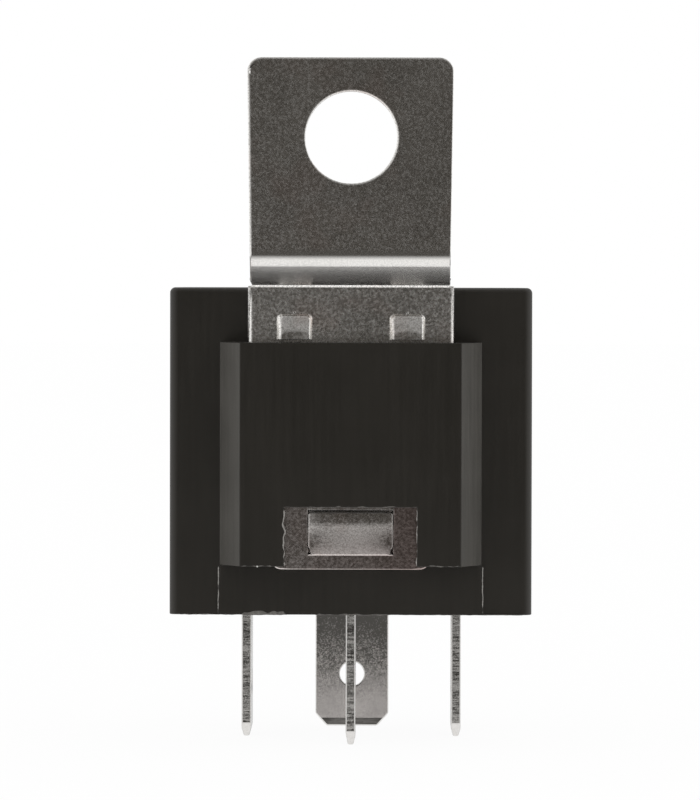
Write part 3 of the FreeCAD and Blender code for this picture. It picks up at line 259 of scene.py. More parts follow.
def window_painted_shade(tree, place):
    """Painted shade on the plating in the window: more to the right, and less on the tongue."""
    across, _, height = parts_of(tree, place)
    on_tongue = ranged_mm(tree, height, TONGUE_SHADE_HEIGHTS, TONGUE_SHADE)
    beside = ranged_mm(tree, joined(tree, "ABSOLUTE", across), SLOT_SIDE)
    below = ranged_mm(tree, height, SLOT_FOOT, (1, 0))
    shaded = joined(tree, "MAXIMUM", joined(tree, "MAXIMUM", beside, on_tongue), below)
    inside = joined(tree, "MULTIPLY", shaded, ranged_mm(tree, height, WINDOW_SHADE_TOP, (1, 0)))
    return joined(tree, "MULTIPLY", inside, ranged_mm(tree, across, WINDOW_SHADE_SPAN, WINDOW_SHADE_SHARES))


def peel_left(tree, height):
    """The share of the plating's peel and speckle that the bends have left at a height."""
    return joined(tree, "MAXIMUM", ranged_mm(tree, height, CALM_STARTS, (1, CALM_SHARE)),
                  ranged_mm(tree, height, CALM_ENDS, (CALM_SHARE, 1)))


def plated_metal(name, dark, light, rough):
    """Plated sheet: crystalline speckle, soft clouds, and a slight peel that frays reflections."""
    material, tree, shader = new_metal(name)
    place = place_of(tree)
    _, _, height = parts_of(tree, place)
    speckle = noise_of(tree, place, 8600, rough=0.6)
    grains = noise_of(tree, place, 4200, detail=1.0)
    clouds = noise_of(tree, place, 300)
    calm = peel_left(tree, height)
    tone = ranged(tree, mixed(tree, speckle, clouds, 0.8), (0.38, 0.57))
    colour = between(tree, tone, dark, light)
    warm = ranged(tree, noise_of(tree, place, 260), (0.52, 0.7), (0, 0.4))
    colour = between(tree, warm, colour, WARM_STAIN)
    # painted shade: in the window the plating goes dark and brownish, most of all to the right
    colour = between(tree, window_painted_shade(tree, place), colour, BROWN_PAINTED_SHADE)
    colour = between(tree, calm, WORKED_ZINC, colour)
    uneven = joined(tree, "MULTIPLY", ranged(tree, grains, (0.35, 0.65), (-0.05, 0.07)), calm)
    dull = joined(tree, "ADD", band(tree, height, WEB_STARTS, WEB_ENDS, WEB_DULL),
                  band(tree, height, SHEET_STARTS, SHEET_ENDS, SHEET_DULL))
    spread = joined(tree, "ADD", joined(tree, "ADD", uneven, rough), dull)
    peel = bumped(tree, joined(tree, "MULTIPLY", grains, calm), 0.005)
    relief = bumped(tree, joined(tree, "MULTIPLY", speckle, calm), 0.0025, under=peel)
    plug_in(tree, shader, colour, spread, relief)
    return material


def sheared_metal(name, dark, light, rough):
    """The sheared edges of a blade: fine marks across the edge over a speckled ground."""
    material, tree, shader = new_metal(name)
    place = place_of(tree)
    speckle = noise_of(tree, place, 9500, rough=0.6)
    marks = noise_of(tree, stretched(tree, place, SHEAR_STRETCH), 5200, detail=3.0, rough=0.7)
    patches = noise_of(tree, place, 700)
    tone = ranged(tree, mixed(tree, speckle, marks, 0.35), (0.43, 0.57))
    spread = ranged(tree, patches, (0.3, 0.7), (rough - 0.05, rough + 0.07))
    relief = bumped(tree, marks, 0.012, under=bumped(tree, speckle, 0.006))
    plug_in(tree, shader, between(tree, tone, dark, light), spread, relief)
    return material


def rolled_metal(name, dark, light, rough):
    """Broad faces of a blade: even speckle, duller and darker with painted shade near the base."""
    material, tree, shader = new_metal(name)
    place = place_of(tree)
    _, _, height = parts_of(tree, place)
    speckle = noise_of(tree, place, 9000, rough=0.6)
    clouds = noise_of(tree, place, 900)
    # painted shade under the case: towards the base the colour darkens and its speckle fades
    near = ranged_mm(tree, height, (BLADE_UNSHADED, BLADE_FULLY_SHADED))
    contrast = ranged(tree, near, (0, 0.5), (0.3, 1))
    tone = ranged(tree, mixed(tree, speckle, clouds, 0.75), (0.36, 0.64), (-0.6, 0.6))
    tone = joined(tree, "ADD", joined(tree, "MULTIPLY", tone, contrast),
                  ranged(tree, near, (0, 1), (0.93, -0.35)))
    spread = ranged(tree, near, (0, 1), (rough, rough + 0.1))
    relief = bumped(tree, joined(tree, "MULTIPLY", speckle, contrast), 0.006)
    plug_in(tree, shader, between(tree, tone, dark, light), spread, relief)
    return material


def plain_metal(name, dark, light, rough):
    """Plain metal, as of the hidden works: even, with a slight grain."""
    material, tree, shader = new_metal(name)
    grain = noise_of(tree, place_of(tree), 4000, detail=3.0, rough=0.6)
    colour = between(tree, ranged(tree, grain, (0.35, 0.65)), dark, light)
    spread = ranged(tree, grain, (0.3, 0.7), (rough - 0.05, rough + 0.05))
    plug_in(tree, shader, colour, spread, bumped(tree, grain, 0.003))
    return material


def wound_copper(name, dark, light):
    """Enamelled wire: the turns show as fine ridges along the coil."""
    material, tree, shader = new_material(name)
    wave = tree.nodes.new("ShaderNodeTexWave")
    wave.bands_direction = "Z"
    wave.inputs["Scale"].default_value = 1300
    wave.inputs["Distortion"].default_value = 0.3
    tree.links.new(place_of(tree), wave.inputs["Vector"])
    turns = wave.outputs["Fac"]
    spread = ranged(tree, turns, (0, 1), (0.42, 0.28))
    plug_in(tree, shader, between(tree, turns, dark, light), spread, bumped(tree, turns, 0.06))
    shader.inputs["Metallic"].default_value = 0.9
    shader.inputs["Coat Weight"].default_value = 0.4
    return material


# Each plastic: its darkest and lightest colour, its roughness and its grain's depth
PLASTICS = {
    "case_black": ((0.0095, 0.0072, 0.0035), (0.013, 0.01, 0.0055), 0.42, 0.0035),
    # The flanks' lighter grey is a painted sheen: light that their slant catches, put into the colour
    "flank_matt_painted_sheen": ((0.05, 0.0465, 0.04), (0.078, 0.073, 0.064), 0.6, 0.006),
    "base_black": ((0.016, 0.015, 0.013), (0.024, 0.022, 0.02), 0.5, 0.004),
    "bobbin_cream": ((0.5, 0.45, 0.35), (0.6, 0.55, 0.44), 0.45, 0.003),
    "wrap_tape": ((0.4, 0.28, 0.06), (0.55, 0.4, 0.1), 0.35, 0.002),
    # The two flash colours are painted highlights: edges and flash that catch the light, made light grey
    "flash_painted_highlight": ((0.2, 0.19, 0.175), (0.4, 0.38, 0.355), 0.5, 0.002),
    "flash_grey_painted_highlight": ((0.07, 0.065, 0.06), (0.17, 0.16, 0.145), 0.5, 0.002),
    "grain_white": ((0.5, 0.49, 0.47), (0.7, 0.69, 0.66), 0.6, 0.002),
}

# Each metal: its kind, its darkest and lightest colour, and its roughness
METALS = {
    "zinc_plate": (plated_metal, (0.54, 0.527, 0.503), (1.0, 0.98, 0.95), 0.18),
    "blade_face": (rolled_metal, (0.22, 0.212, 0.198), (0.97, 0.925, 0.9), 0.24),
    "blade_side": (rolled_metal, (0.8, 0.79, 0.77), (0.97, 0.96, 0.94), 0.12),
    "blade_edge": (sheared_metal, (0.13, 0.125, 0.115), (0.92, 0.9, 0.87), 0.24),
    # The pressed band's near-black is painted shade: the dark that the band mirrors, put into its colour
    "pressed_tip_painted_shade": (sheared_metal, (0.09, 0.086, 0.08), (0.16, 0.153, 0.145), 0.3),
    "blade_tip": (plain_metal, (0.68, 0.665, 0.645), (0.76, 0.745, 0.725), 0.3),
    "soft_iron": (plain_metal, (0.4, 0.39, 0.37), (0.55, 0.54, 0.52), 0.35),
    "spring_copper": (plain_metal, (0.6, 0.33, 0.19), (0.75, 0.46, 0.3), 0.3),
    "contact_silver": (plain_metal, (0.72, 0.71, 0.69), (0.86, 0.85, 0.83), 0.28),
    "winding_copper": (wound_copper, (0.22, 0.055, 0.02), (0.6, 0.21, 0.08)),
}


def make_materials():
    """Every material by its name."""
    looks = {name: moulded_plastic(name, *values) for name, values in PLASTICS.items()}
    looks.update({name: kind(name, *values) for name, (kind, *values) in METALS.items()})
    return looks


# ---- meshes

# Corners closer than the gap are one, smaller turns are flat and larger ones are edges. Points
# within the slack of a limit count as inside it
MERGE_GAP = 0.002 * MM
SLACK = 0.01
FLAT_ANGLE = math.radians(0.4)
SHARP_ANGLE = math.radians(24)
SOFTENING = "bevel_weight_edge"

# Faces wider than this shade smoothly over small turns only, narrower ones over large turns too
BROAD_FACE = 0.45
BROAD_TURN = math.radians(2)
STRIP_TURN = math.radians(40)
NORMAL_WEIGHT = 90


def edge_angle(edge):
    """The turn between an edge's two faces, or 0 at an open edge."""
    return edge.calc_face_angle(0.0) if len(edge.link_faces) == 2 else 0.0


def in_plane(edge, cuts):
    """Whether an edge lies in one of the cutting planes."""
    return any(
        all(abs(vert.co[axis] - place * MM) < MERGE_GAP for vert in edge.verts)
        for axis, place in cuts
    )


def is_straight(vert):
    """Whether a corner only sits along the line of its two edges."""
    if len(vert.link_edges) != 2:
        return False
    first, second = (edge.other_vert(vert).co - vert.co for edge in vert.link_edges)
    return first.angle(second, 0) > math.pi - FLAT_ANGLE


def all_of(surface):
    """Every corner, edge and face of a surface."""
    return surface.verts[:] + surface.edges[:] + surface.faces[:]


def cut(surface, parts, axis, place):
    """Split these parts of a surface where they cross the plane at a place along an axis."""
    normal = Vector((0, 0, 0))
    normal[axis] = 1
    bmesh.ops.bisect_plane(surface, geom=parts, dist=MERGE_GAP / 4,
                           plane_co=normal * place * MM, plane_no=normal)


def merged(node):
    """The node's surface with its corners joined."""
    surface = bmesh.new()
    surface.from_mesh(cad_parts[node].data)
    bmesh.ops.remove_doubles(surface, verts=surface.verts, dist=MERGE_GAP)
    return surface


def welded(node, cuts):
    """The node's surface with joined corners and whole flat faces, split only by the given planes.

    Each cut is an axis and a place. The cuts pass through every hole, so that each face is a plain
    outline whose inner edges meet its rim squarely.
    """
    surface = merged(node)
    for axis, place in cuts:
        cut(surface, all_of(surface), axis, place)
    inner = [
        edge for edge in surface.edges
        if len(edge.link_faces) == 2 and edge_angle(edge) < FLAT_ANGLE and not in_plane(edge, cuts)
    ]
    bmesh.ops.dissolve_edges(surface, edges=inner, use_verts=False, use_face_split=False)
    bmesh.ops.dissolve_verts(surface, verts=[vert for vert in surface.verts if is_straight(vert)])
    bmesh.ops.recalc_face_normals(surface, faces=surface.faces)
    return surface


def weigh_edges(surface, width_of, widest):
    """Give every sharp edge its own softening width."""
    layer = surface.edges.layers.float.new(SOFTENING)
    for edge in surface.edges:
        if edge_angle(edge) > SHARP_ANGLE:
            edge[layer] = min(1.0, width_of(edge) / widest)


def middle_of(edge):
    """The middle of an edge."""
    return (edge.verts[0].co + edge.verts[1].co) / 2 / MM


def face_width(face):
    """Area over longest side: large for broad faces, small for the strips of a bend."""
    return face.calc_area() / max(edge.calc_length() for edge in face.edges) / MM


def add_rows(surface, rows):
    """Four-sided faces between neighbouring rows of corners."""
    for first, second in zip(rows, rows[1:]):
        for index in range(len(first) - 1):
            surface.faces.new((first[index], second[index], second[index + 1], first[index + 1]))


def shade_smooth(surface):
    """Every face of a surface takes part in smooth shading."""
    for face in surface.faces:
        face.smooth = True


def added(surface, name, material):
    """A piece of the scene made from a surface, which is used up."""
    mesh = bpy.data.meshes.new(name)
    surface.to_mesh(mesh)
    surface.free()
    mesh.materials.append(material)
    piece = bpy.data.objects.new(name, mesh)
    bpy.context.collection.objects.link(piece)
    return piece


def even_normals(piece):
    """Large faces keep their own shading normal, and the softened edges turn between them."""
    weighted = piece.modifiers.new("weighted", "WEIGHTED_NORMAL")
    weighted.keep_sharp = True
    weighted.weight = NORMAL_WEIGHT


def finished(surface, name, material, widest, segments):
    """A smooth-shaded piece from a surface whose edges have their softening widths."""
    layer = surface.edges.layers.float[SOFTENING]
    shade_smooth(surface)
    for edge in surface.edges:
        faces = edge.link_faces
        broad = len(faces) == 2 and min(face_width(face) for face in faces) > BROAD_FACE
        edge.smooth = edge[layer] > 0 or edge_angle(edge) < (BROAD_TURN if broad else STRIP_TURN)
    piece = added(surface, name, material)
    bevel = piece.modifiers.new("soft_edges", "BEVEL")
    bevel.limit_method = "WEIGHT"
    bevel.width = widest * MM
    bevel.segments = segments
    bevel.use_clamp_overlap = False
    bevel.harden_normals = False
    even_normals(piece)
    return piece


def settled(piece):
    """The piece's softened edges become part of its mesh, whose corners can then be moved."""
    for modifier in [found for found in piece.modifiers if found.type == "WEIGHTED_NORMAL"]:
        piece.modifiers.remove(modifier)
    solid = piece.evaluated_get(bpy.context.evaluated_depsgraph_get())
    mesh = bpy.data.meshes.new_from_object(solid)
    piece.modifiers.clear()
    piece.data = mesh


def stand_for(piece, node):
    """The piece takes a node's place on the housing."""
    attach(piece, HOUSING)
    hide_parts(node)


# ---- case

CASE_CUTS = ((ACROSS, 0.0), (AHEAD, 0.0), (UP, 14.0))
CASE_SOFT = 0.07
FLANK_SLANT = (0.5, 0.97)
FLANK_AHEAD = -0.2
FLANK_WIDTH = 0.5


def is_flank(face):
    """Whether a face is one of the slanted flanks of the bracket pocket."""
    low, high = FLANK_SLANT
    slanted = low < abs(face.normal.x) < high and face.normal.y < FLANK_AHEAD
    return slanted and face_width(face) > FLANK_WIDTH


def make_case(plastic, rough_painted_sheen):
    """The case with softly broken edges; the bracket pocket's rough flanks carry a painted sheen."""
    surface = welded("case", CASE_CUTS)
    weigh_edges(surface, lambda edge: CASE_SOFT, CASE_SOFT)
    for face in surface.faces:
        # the slanted flanks take the rougher material with the painted sheen
        if is_flank(face):
            face.material_index = 1
    piece = finished(surface, "case_shell", plastic, CASE_SOFT, segments=2)
    piece.data.materials.append(rough_painted_sheen)
    stand_for(piece, "case")


# ---- bracket

# The sheet below the joggle and the lug above it, as the solid has them, and how an edge is told
# to be at the front or to run through the sheet
SHEET_FRONT = -16.0
SIDE_START = 7.0
FOOT_SIDE = 5
FOOT_CORNERS = 4.7
FOOT_SHOULDER = 10.8
NOTCH_LOW = 26.4
LUG_FRONT = -18.04
LUG_START = 29.8
LUG_SHOULDER = 43.1
LUG_CORNERS = 44.3
LUG_ARC = (44.4, 44.55)
HOLE_LOW = 34.0
HOLE_HALF = 4.5
HOLE_RADIUS = 3.75
WINDOW_TOP = 9.0
FACING_AHEAD = -0.6
THROUGH_SHEET = 0.4

# Widths of its softened edges. The lug's sides grow by theirs within 1 mm of where the lug starts
ROLL_WIDEST = 0.6
ROLL_SEGMENTS = 8
TONGUE_SOFT = 0.27
SLOT_SOFT = 0.02
FOOT_CORNER_SOFT = 0.5
FOOT_SOFT = 0.13
BACK_SOFT = 0.05
LUG_SIDE_SOFT = 0.06
LUG_LEFT_GROWS = 0.54
LUG_SIDE_GROWS = 0.14
LUG_END_SOFT = 0.2
HOLE_SOFT = 0.22

# Shares of depth that the rolled rims keep, and how much deeper some of them are
SHEET_ROLL_SHARE = 0.48
SHEET_LEFT_DEEPER = 0.3
LUG_ROLL_SHARE = 0.32
LUG_LEFT_DEEPER = 1.9
TONGUE_ROLL_SHARE = 0.6

# The joggle's heights and how much higher its bends sit than their plain arcs, what fills the
# notches over its foot, and how far the lug's left edge stands out
JOGGLE = (26.45, 29.78)
JOGGLE_RISE = 0.18
NECK_HEIGHTS = (27.0, 28.4)
NECK_SIDES = (7.6, 7.95)
NECK_FILL = 0.26
LUG_WIDER_FROM = 27.35
LUG_WIDER = 0.13

# Tongue: where it stands, the planes that divide it, and its crown and droop
TONGUE_HALF = 3.49
TONGUE_FRONT = -16.25
TONGUE_FOLD = (5.04, -16.09)
TONGUE_UPRIGHT = 7.57
TONGUE_TOP = 8.62
TONGUE_ROOT = 5.3
TONGUE_FOOT = 4.5
TONGUE_DEEP = 0.2
TONGUE_CUTS = (0.7, 1.4, 2.0, 2.4, 2.7, 2.9)
TONGUE_LEVELS = (5.7, 6.1, 6.5, 6.9, 7.3, 7.7, 8.0)
TONGUE_RISE = 1.5
TONGUE_SPREAD = 1.032
TONGUE_SPREAD_PACE = 8
TONGUE_CROWN = 0.07
TONGUE_DROOP = 0.1
TONGUE_END = 7.4
TONGUE_END_LENGTH = 1.25
TONGUE_END_DROOP = 0.05
TONGUE_REACH = 1.001
TONGUE_CLEAR = 0.1

# Dimples: their outline, their step and slope, where and how softly they level out, and their rolls
DIMPLE_PLACE = 4.62
DIMPLE_HALF = 1.45
DIMPLE_LOW = 22.62
DIMPLE_HIGH = 24.72
DIMPLE_OUTSIDE = 0.02
DIMPLE_COLUMNS = 40
DIMPLE_ROWS = 26
DIMPLE_STEP = 0.2
DIMPLE_SLOPE = 0.24
DIMPLE_LEVELS = 1.3
DIMPLE_SIDES_LEVEL = 0.3
DIMPLE_EASE = 0.4
DIMPLE_CORNER = 0.42
DIMPLE_ROLL = 0.44
DIMPLE_RIGHT_SHARE = 0.7
DIMPLE_ROLL_CURVE = 2.2
DIMPLE_TOP_ROLL = 0.2
DIMPLE_UNEVEN = 0.01
DIMPLE_SEED = 3.7
NIB_SIZE = (0.16, 0.045, 0.16)
NIB_SUNK = 0.015
NIB_ABOVE = 0.1

# Planes that split the flat faces so that none has a hole and the rims can change their width
BRACKET_CUTS = (
    (ACROSS, 0.0), (ACROSS, -DIMPLE_PLACE), (ACROSS, DIMPLE_PLACE),
    (UP, 11.2), (UP, 26.1), (UP, 29.9), (UP, 30.3), (UP, 30.7), (UP, 43.2), (UP, 44.2),
)


def tongue_softening(middle, ahead):
    """Softening within the window: the tongue's rim is rolled, and its slots are nearly sharp."""
    on_tongue = (TONGUE_ROOT < middle.z < TONGUE_TOP + SLACK
                 and middle.y < SHEET_FRONT + TONGUE_DEEP)
    return TONGUE_SOFT if on_tongue and ahead < FACING_AHEAD else SLOT_SOFT


def side_softening(middle):
    """Softening of the front rims of the sheet's and the lug's sides."""
    if middle.z < NOTCH_LOW:
        return ROLL_WIDEST
    above = max(0.0, min(1.0, middle.z - LUG_START))
    wide = middle.x < 0 and middle.z < LUG_SHOULDER
    return LUG_SIDE_SOFT + (LUG_LEFT_GROWS if wide else LUG_SIDE_GROWS) * above


def bracket_softening(edge):
    """Blanking rolls the front rim of the sheet over; the back rim stays nearly sharp."""
    middle = middle_of(edge)
    half = abs(middle.x)
    ahead = min(face.normal.y for face in edge.link_faces)
    through = abs(edge.verts[0].co.y - edge.verts[1].co.y) > THROUGH_SHEET * MM
    if half < TONGUE_HALF + SLACK and middle.z < WINDOW_TOP:
        return tongue_softening(middle, ahead)
    if through and middle.z < FOOT_CORNERS and half > FOOT_SIDE:
        return FOOT_CORNER_SOFT
    if ahead > FACING_AHEAD:
        return BACK_SOFT
    if half > SIDE_START and middle.z > FOOT_SHOULDER:
        return side_softening(middle)
    if middle.z > LUG_CORNERS:
        return LUG_END_SOFT
    if half < HOLE_HALF and middle.z > HOLE_LOW:
        return HOLE_SOFT
    return FOOT_SOFT if middle.z < FOOT_CORNERS else BACK_SOFT


def in_dimple(point, middle_x):
    """Whether a point belongs to the plain dimple that the solid has there."""
    beside = abs(point.x - middle_x) < DIMPLE_HALF + DIMPLE_OUTSIDE
    level = DIMPLE_LOW - DIMPLE_OUTSIDE < point.z < DIMPLE_HIGH + DIMPLE_OUTSIDE
    return beside and level and point.y < SHEET_FRONT + DIMPLE_OUTSIDE


def clear_dimple(surface, middle_x):
    """Take a dimple's plain faces off the sheet's front, so that a shaped one takes their place."""
    doomed = [
        face for face in surface.faces
        if all(in_dimple(vert.co / MM, middle_x) for vert in face.verts)
    ]
    bmesh.ops.delete(surface, geom=doomed, context="FACES")


def dimple_level(across, from_top, seed):
    """How far a dimple stands off the sheet, from -1 to 1 across it and so far below its top."""
    from_side = (1 - abs(across)) * DIMPLE_HALF
    edge_top = from_top
    if from_side < DIMPLE_CORNER and from_top < DIMPLE_CORNER:
        reach = math.hypot(DIMPLE_CORNER - from_side, DIMPLE_CORNER - from_top)
        from_side = edge_top = max(0.0, DIMPLE_CORNER - reach)
    roll = DIMPLE_ROLL if across < 0 else DIMPLE_ROLL * DIMPLE_RIGHT_SHARE
    rolled = 1 - max(0.0, 1 - from_side / roll) ** DIMPLE_ROLL_CURVE
    rolled *= 1 - max(0.0, 1 - edge_top / DIMPLE_TOP_ROLL) ** 2
    level_from = DIMPLE_LEVELS + DIMPLE_SIDES_LEVEL * across * across
    ramp = DIMPLE_STEP + DIMPLE_SLOPE * min(from_top, level_from)
    beyond = min(DIMPLE_EASE, max(0.0, from_top - level_from))
    ramp += DIMPLE_SLOPE * (beyond - beyond * beyond / (2 * DIMPLE_EASE))
    uneven = DIMPLE_UNEVEN * noise.noise(Vector((across * 3 + seed, from_top * 2, 0.3)))
    return max(0.0, (ramp + uneven) * rolled)


def add_dimple(surface, middle_x):
    """A half-sheared dimple: a ramp with wide rolled flanks and a torn lower edge."""
    seed = middle_x * DIMPLE_SEED
    rows = []
    for row in range(DIMPLE_ROWS + 1):
        line = []
        from_top = row / DIMPLE_ROWS * (DIMPLE_HIGH - DIMPLE_LOW)
        for column in range(DIMPLE_COLUMNS + 1):
            across = 2 * column / DIMPLE_COLUMNS - 1
            place = (middle_x + across * DIMPLE_HALF,
                     SHEET_FRONT - dimple_level(across, from_top, seed), DIMPLE_HIGH - from_top)
            line.append(surface.verts.new(Vector(place) * MM))
        rows.append(line)
    rows.append([surface.verts.new((v.co.x, SHEET_FRONT * MM, v.co.z)) for v in rows[-1]])
    add_rows(surface, rows)


def add_nib(surface, middle_x):
    """The small raised nib that the shearing punch leaves above a dimple."""
    made = bmesh.ops.create_uvsphere(surface, u_segments=16, v_segments=8, radius=1.0)
    heart = Vector((middle_x, SHEET_FRONT + NIB_SUNK, DIMPLE_HIGH + NIB_ABOVE)) * MM
    size = Matrix.Diagonal((*(side * MM for side in NIB_SIZE), 1))
    bmesh.ops.transform(surface, matrix=Matrix.Translation(heart) @ size, verts=made["verts"])


def tongue_front(height):
    """Where the tongue's front stands at a height: it leans out from its fold, then stands up."""
    low, place = TONGUE_FOLD
    share = max(0.0, min(1.0, (height - low) / (TONGUE_UPRIGHT - low)))
    return place + (TONGUE_FRONT - place) * share


def is_of_tongue(face):
    """Whether a face lies wholly within the tongue's outline."""
    return all(
        abs(vert.co.x) < (TONGUE_HALF + SLACK) * MM
        and TONGUE_FOOT * MM < vert.co.z < WINDOW_TOP * MM
        for vert in face.verts
    )


def divide_tongue(surface):
    """Rows and columns of corners across the tongue, so that it can be crowned."""
    planes = [(ACROSS, side * place) for place in TONGUE_CUTS for side in (-1, 1)]
    planes += [(UP, place) for place in TONGUE_LEVELS]
    for axis, place in planes:
        faces = [face for face in surface.faces if is_of_tongue(face)]
        edges = {edge for face in faces for edge in face.edges}
        verts = {vert for face in faces for vert in face.verts}
        cut(surface, [*verts, *edges, *faces], axis, place)


def crown_tongue(piece):
    """The lanced tongue is slightly crowned, and its sides and free end droop."""
    for vert in piece.data.vertices:
        x, y, z = vert.co / MM
        half = abs(x) / TONGUE_HALF
        on_height = TONGUE_ROOT < z < WINDOW_TOP
        if half > TONGUE_REACH or not on_height or y < TONGUE_FRONT - TONGUE_CLEAR:
            continue
        risen = min(1.0, (z - TONGUE_ROOT) / TONGUE_RISE)
        to_end = max(0.0, (z - TONGUE_END) / TONGUE_END_LENGTH)
        fall = TONGUE_CROWN * half ** 2 + TONGUE_DROOP * half ** 5
        vert.co.y += (risen * fall + TONGUE_END_DROOP * to_end ** 3) * MM
        vert.co.x *= 1 + (TONGUE_SPREAD - 1) * min(1.0, TONGUE_SPREAD_PACE * risen)


def lift_joggle(piece):
    """The joggle's two bends sit a little higher than the plain arcs do."""
    for vert in piece.data.vertices:
        if JOGGLE[0] * MM < vert.co.z < JOGGLE[1] * MM:
            vert.co.z += JOGGLE_RISE * MM


def widen_lug(piece):
    """The lug's left edge stands out a little further, and its neck is as wide as the lug."""
    for vert in piece.data.vertices:
        x, z = vert.co.x / MM, vert.co.z / MM
        if NECK_HEIGHTS[0] < z < NECK_HEIGHTS[1] and NECK_SIDES[0] < abs(x) < NECK_SIDES[1]:
            vert.co.x += math.copysign(NECK_FILL, x) * MM
        if z > LUG_WIDER_FROM and x < -SIDE_START:
            vert.co.x -= LUG_WIDER * MM


def rolled_rim(x, z):
    """The front that a rim is rolled back from and the share of depth that it keeps, or None."""
    if abs(x) > SIDE_START and FOOT_SHOULDER < z < NOTCH_LOW:
        return SHEET_FRONT, SHEET_ROLL_SHARE + (SHEET_LEFT_DEEPER if x < 0 else 0)
    if z > LUG_START:
        if abs(x) < HOLE_HALF and z < LUG_SHOULDER:
            return LUG_FRONT, LUG_ROLL_SHARE * (1 + max(0.0, x) / HOLE_RADIUS)
        return LUG_FRONT, LUG_ROLL_SHARE * (LUG_LEFT_DEEPER if x < 0 and z < LUG_SHOULDER else 1)
    if abs(x) < TONGUE_HALF + SLACK and TONGUE_ROOT < z < WINDOW_TOP:
        return tongue_front(z), TONGUE_ROLL_SHARE
    return None


def flatten_rolls(piece):
    """A die's roll is wide and shallow: its depth shrinks to a share of its width."""
    for vert in piece.data.vertices:
        x, y, z = vert.co / MM
        rim = rolled_rim(x, z)
        if rim is None:
            continue
        front, share = rim
        if 0 < y - front < ROLL_WIDEST + SLACK:
            vert.co.y = (front + (y - front) * share) * MM


def join_corner_starts(surface):
    """The lug's sides run on to the first full facet of its round corners."""
    low, high = LUG_ARC
    starts = [
        edge for edge in surface.edges
        if all(low * MM < vert.co.z < high * MM and abs(vert.co.x) > SIDE_START * MM
               for vert in edge.verts)
    ]
    bmesh.ops.dissolve_edges(surface, edges=starts, use_verts=True, use_face_split=False)


def make_bracket(metal):
    """The bracket, with rolled rims and shaped dimples."""
    surface = welded("mounting_bracket", BRACKET_CUTS)
    join_corner_starts(surface)
    for middle_x in (-DIMPLE_PLACE, DIMPLE_PLACE):
        clear_dimple(surface, middle_x)
        add_dimple(surface, middle_x)
        add_nib(surface, middle_x)
    divide_tongue(surface)
    weigh_edges(surface, bracket_softening, ROLL_WIDEST)
    piece = finished(surface, "bracket_sheet", metal, ROLL_WIDEST, ROLL_SEGMENTS)
    settled(piece)
    flatten_rolls(piece)
    lift_joggle(piece)
    widen_lug(piece)
    crown_tongue(piece)
    even_normals(piece)
    stand_for(piece, "mounting_bracket")


# ---- blades

# Softening, the height of the cut that parts a blade from its flange, the heights below which a
# blade shows and its tip lies, and what tells its faces apart
BLADE_SOFT = 0.11
BLADE_CUT = 0.5
BLADE_SHOWN = -0.5
BLADE_TIP = -5
BLADE_NARROW = 1.2
PRESSED_AREA = 1.3
LEANING = 0.1

# The front blade's strip: its front, half its thickness, its top, and how close to its flats a
# corner of its rounding may lie
STRIP_FRONT = -11.6
STRIP_HALF = 0.4
STRIP_TOP = 12
STRIP_ROUND_OFF = 0.005

# A blade's materials, in the order in which its faces number them
BROAD, SHEARED, PRESSED, BRIGHT = range(4)


def blade_cuts(node):
    """One plane down the middle of the blade, through its hole, and one that parts its flange."""
    points = [vert.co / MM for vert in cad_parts[node].data.vertices]
    shown = [point for point in points if point.z < BLADE_SHOWN]
    spans = []
    for axis in (ACROSS, AHEAD):
        places = [point[axis] for point in shown]
        spans.append((max(places) - min(places), axis, (max(places) + min(places)) / 2))
    _, axis, middle = max(spans)
    return ((axis, middle), (UP, BLADE_CUT))


def on_round_corner(point):
    """Whether a corner belongs to the bend's round corner along the front blade's strip."""
    heart = STRIP_FRONT + STRIP_HALF
    in_quarter = point.x < -STRIP_ROUND_OFF and point.y < heart + STRIP_ROUND_OFF
    off_round = abs(math.hypot(point.x, point.y - heart) - STRIP_HALF)
    return in_quarter and point.z < STRIP_TOP and off_round < SLACK


def square_corner(surface):
    """The front blade's strip is square at its front edge; the bend's rounding ends above it."""
    low = max(vert.co.z for vert in surface.verts
              if vert.co.z < BLADE_TIP * MM and vert.co.y < (STRIP_FRONT + SLACK) * MM)
    for vert in surface.verts:
        if on_round_corner(vert.co / MM):
            height = low if vert.co.z < BLADE_TIP * MM else vert.co.z
            vert.co = Vector((-STRIP_HALF * MM, STRIP_FRONT * MM, height))
    bmesh.ops.remove_doubles(surface, verts=surface.verts, dist=MERGE_GAP)
    bmesh.ops.recalc_face_normals(surface, faces=surface.faces)


def blade_look(face):
    """Which of the blade's materials a face has."""
    if face.normal.z < -LEANING and face.calc_center_median().z < BLADE_TIP * MM:
        # the large pressed band takes the material darkened with painted shade
        return PRESSED if face.calc_area() > PRESSED_AREA * MM * MM else BRIGHT
    if face_width(face) < BLADE_NARROW and abs(face.normal.z) < LEANING:
        return SHEARED
    return BROAD


def make_blade(node, materials):
    """A blade with softened edges, sheared narrow sides and pressed bevels at its tip.

    The materials are those of its broad faces, its sheared sides, its pressed band, darkened
    with painted shade, and its bright tip.
    """
    surface = welded(node, blade_cuts(node))
    if node == "terminal_30":
        square_corner(surface)
    weigh_edges(surface, lambda edge: BLADE_SOFT, BLADE_SOFT)
    for face in surface.faces:
        face.material_index = blade_look(face)
    piece = finished(surface, f"{node}_blade", materials[BROAD], BLADE_SOFT, segments=3)
    for material in materials[SHEARED:]:
        piece.data.materials.append(material)
    piece.modifiers["soft_edges"].material = BRIGHT
    stand_for(piece, node)


# ---- flash of the moulding, and light ridges that are painted highlights along edges

# Fronts of the wall, of the pad below the pocket and of the pocket's cover, the pad's sides, and
# how far up the window's lines and the cover begin
WALL_FRONT = -14.7
PAD_FRONT = -14.85
COVER_FRONT = -17.7
PAD_SIDE = 10.86
WINDOW_FOOT = 4.15
COVER_FOOT = 4.16

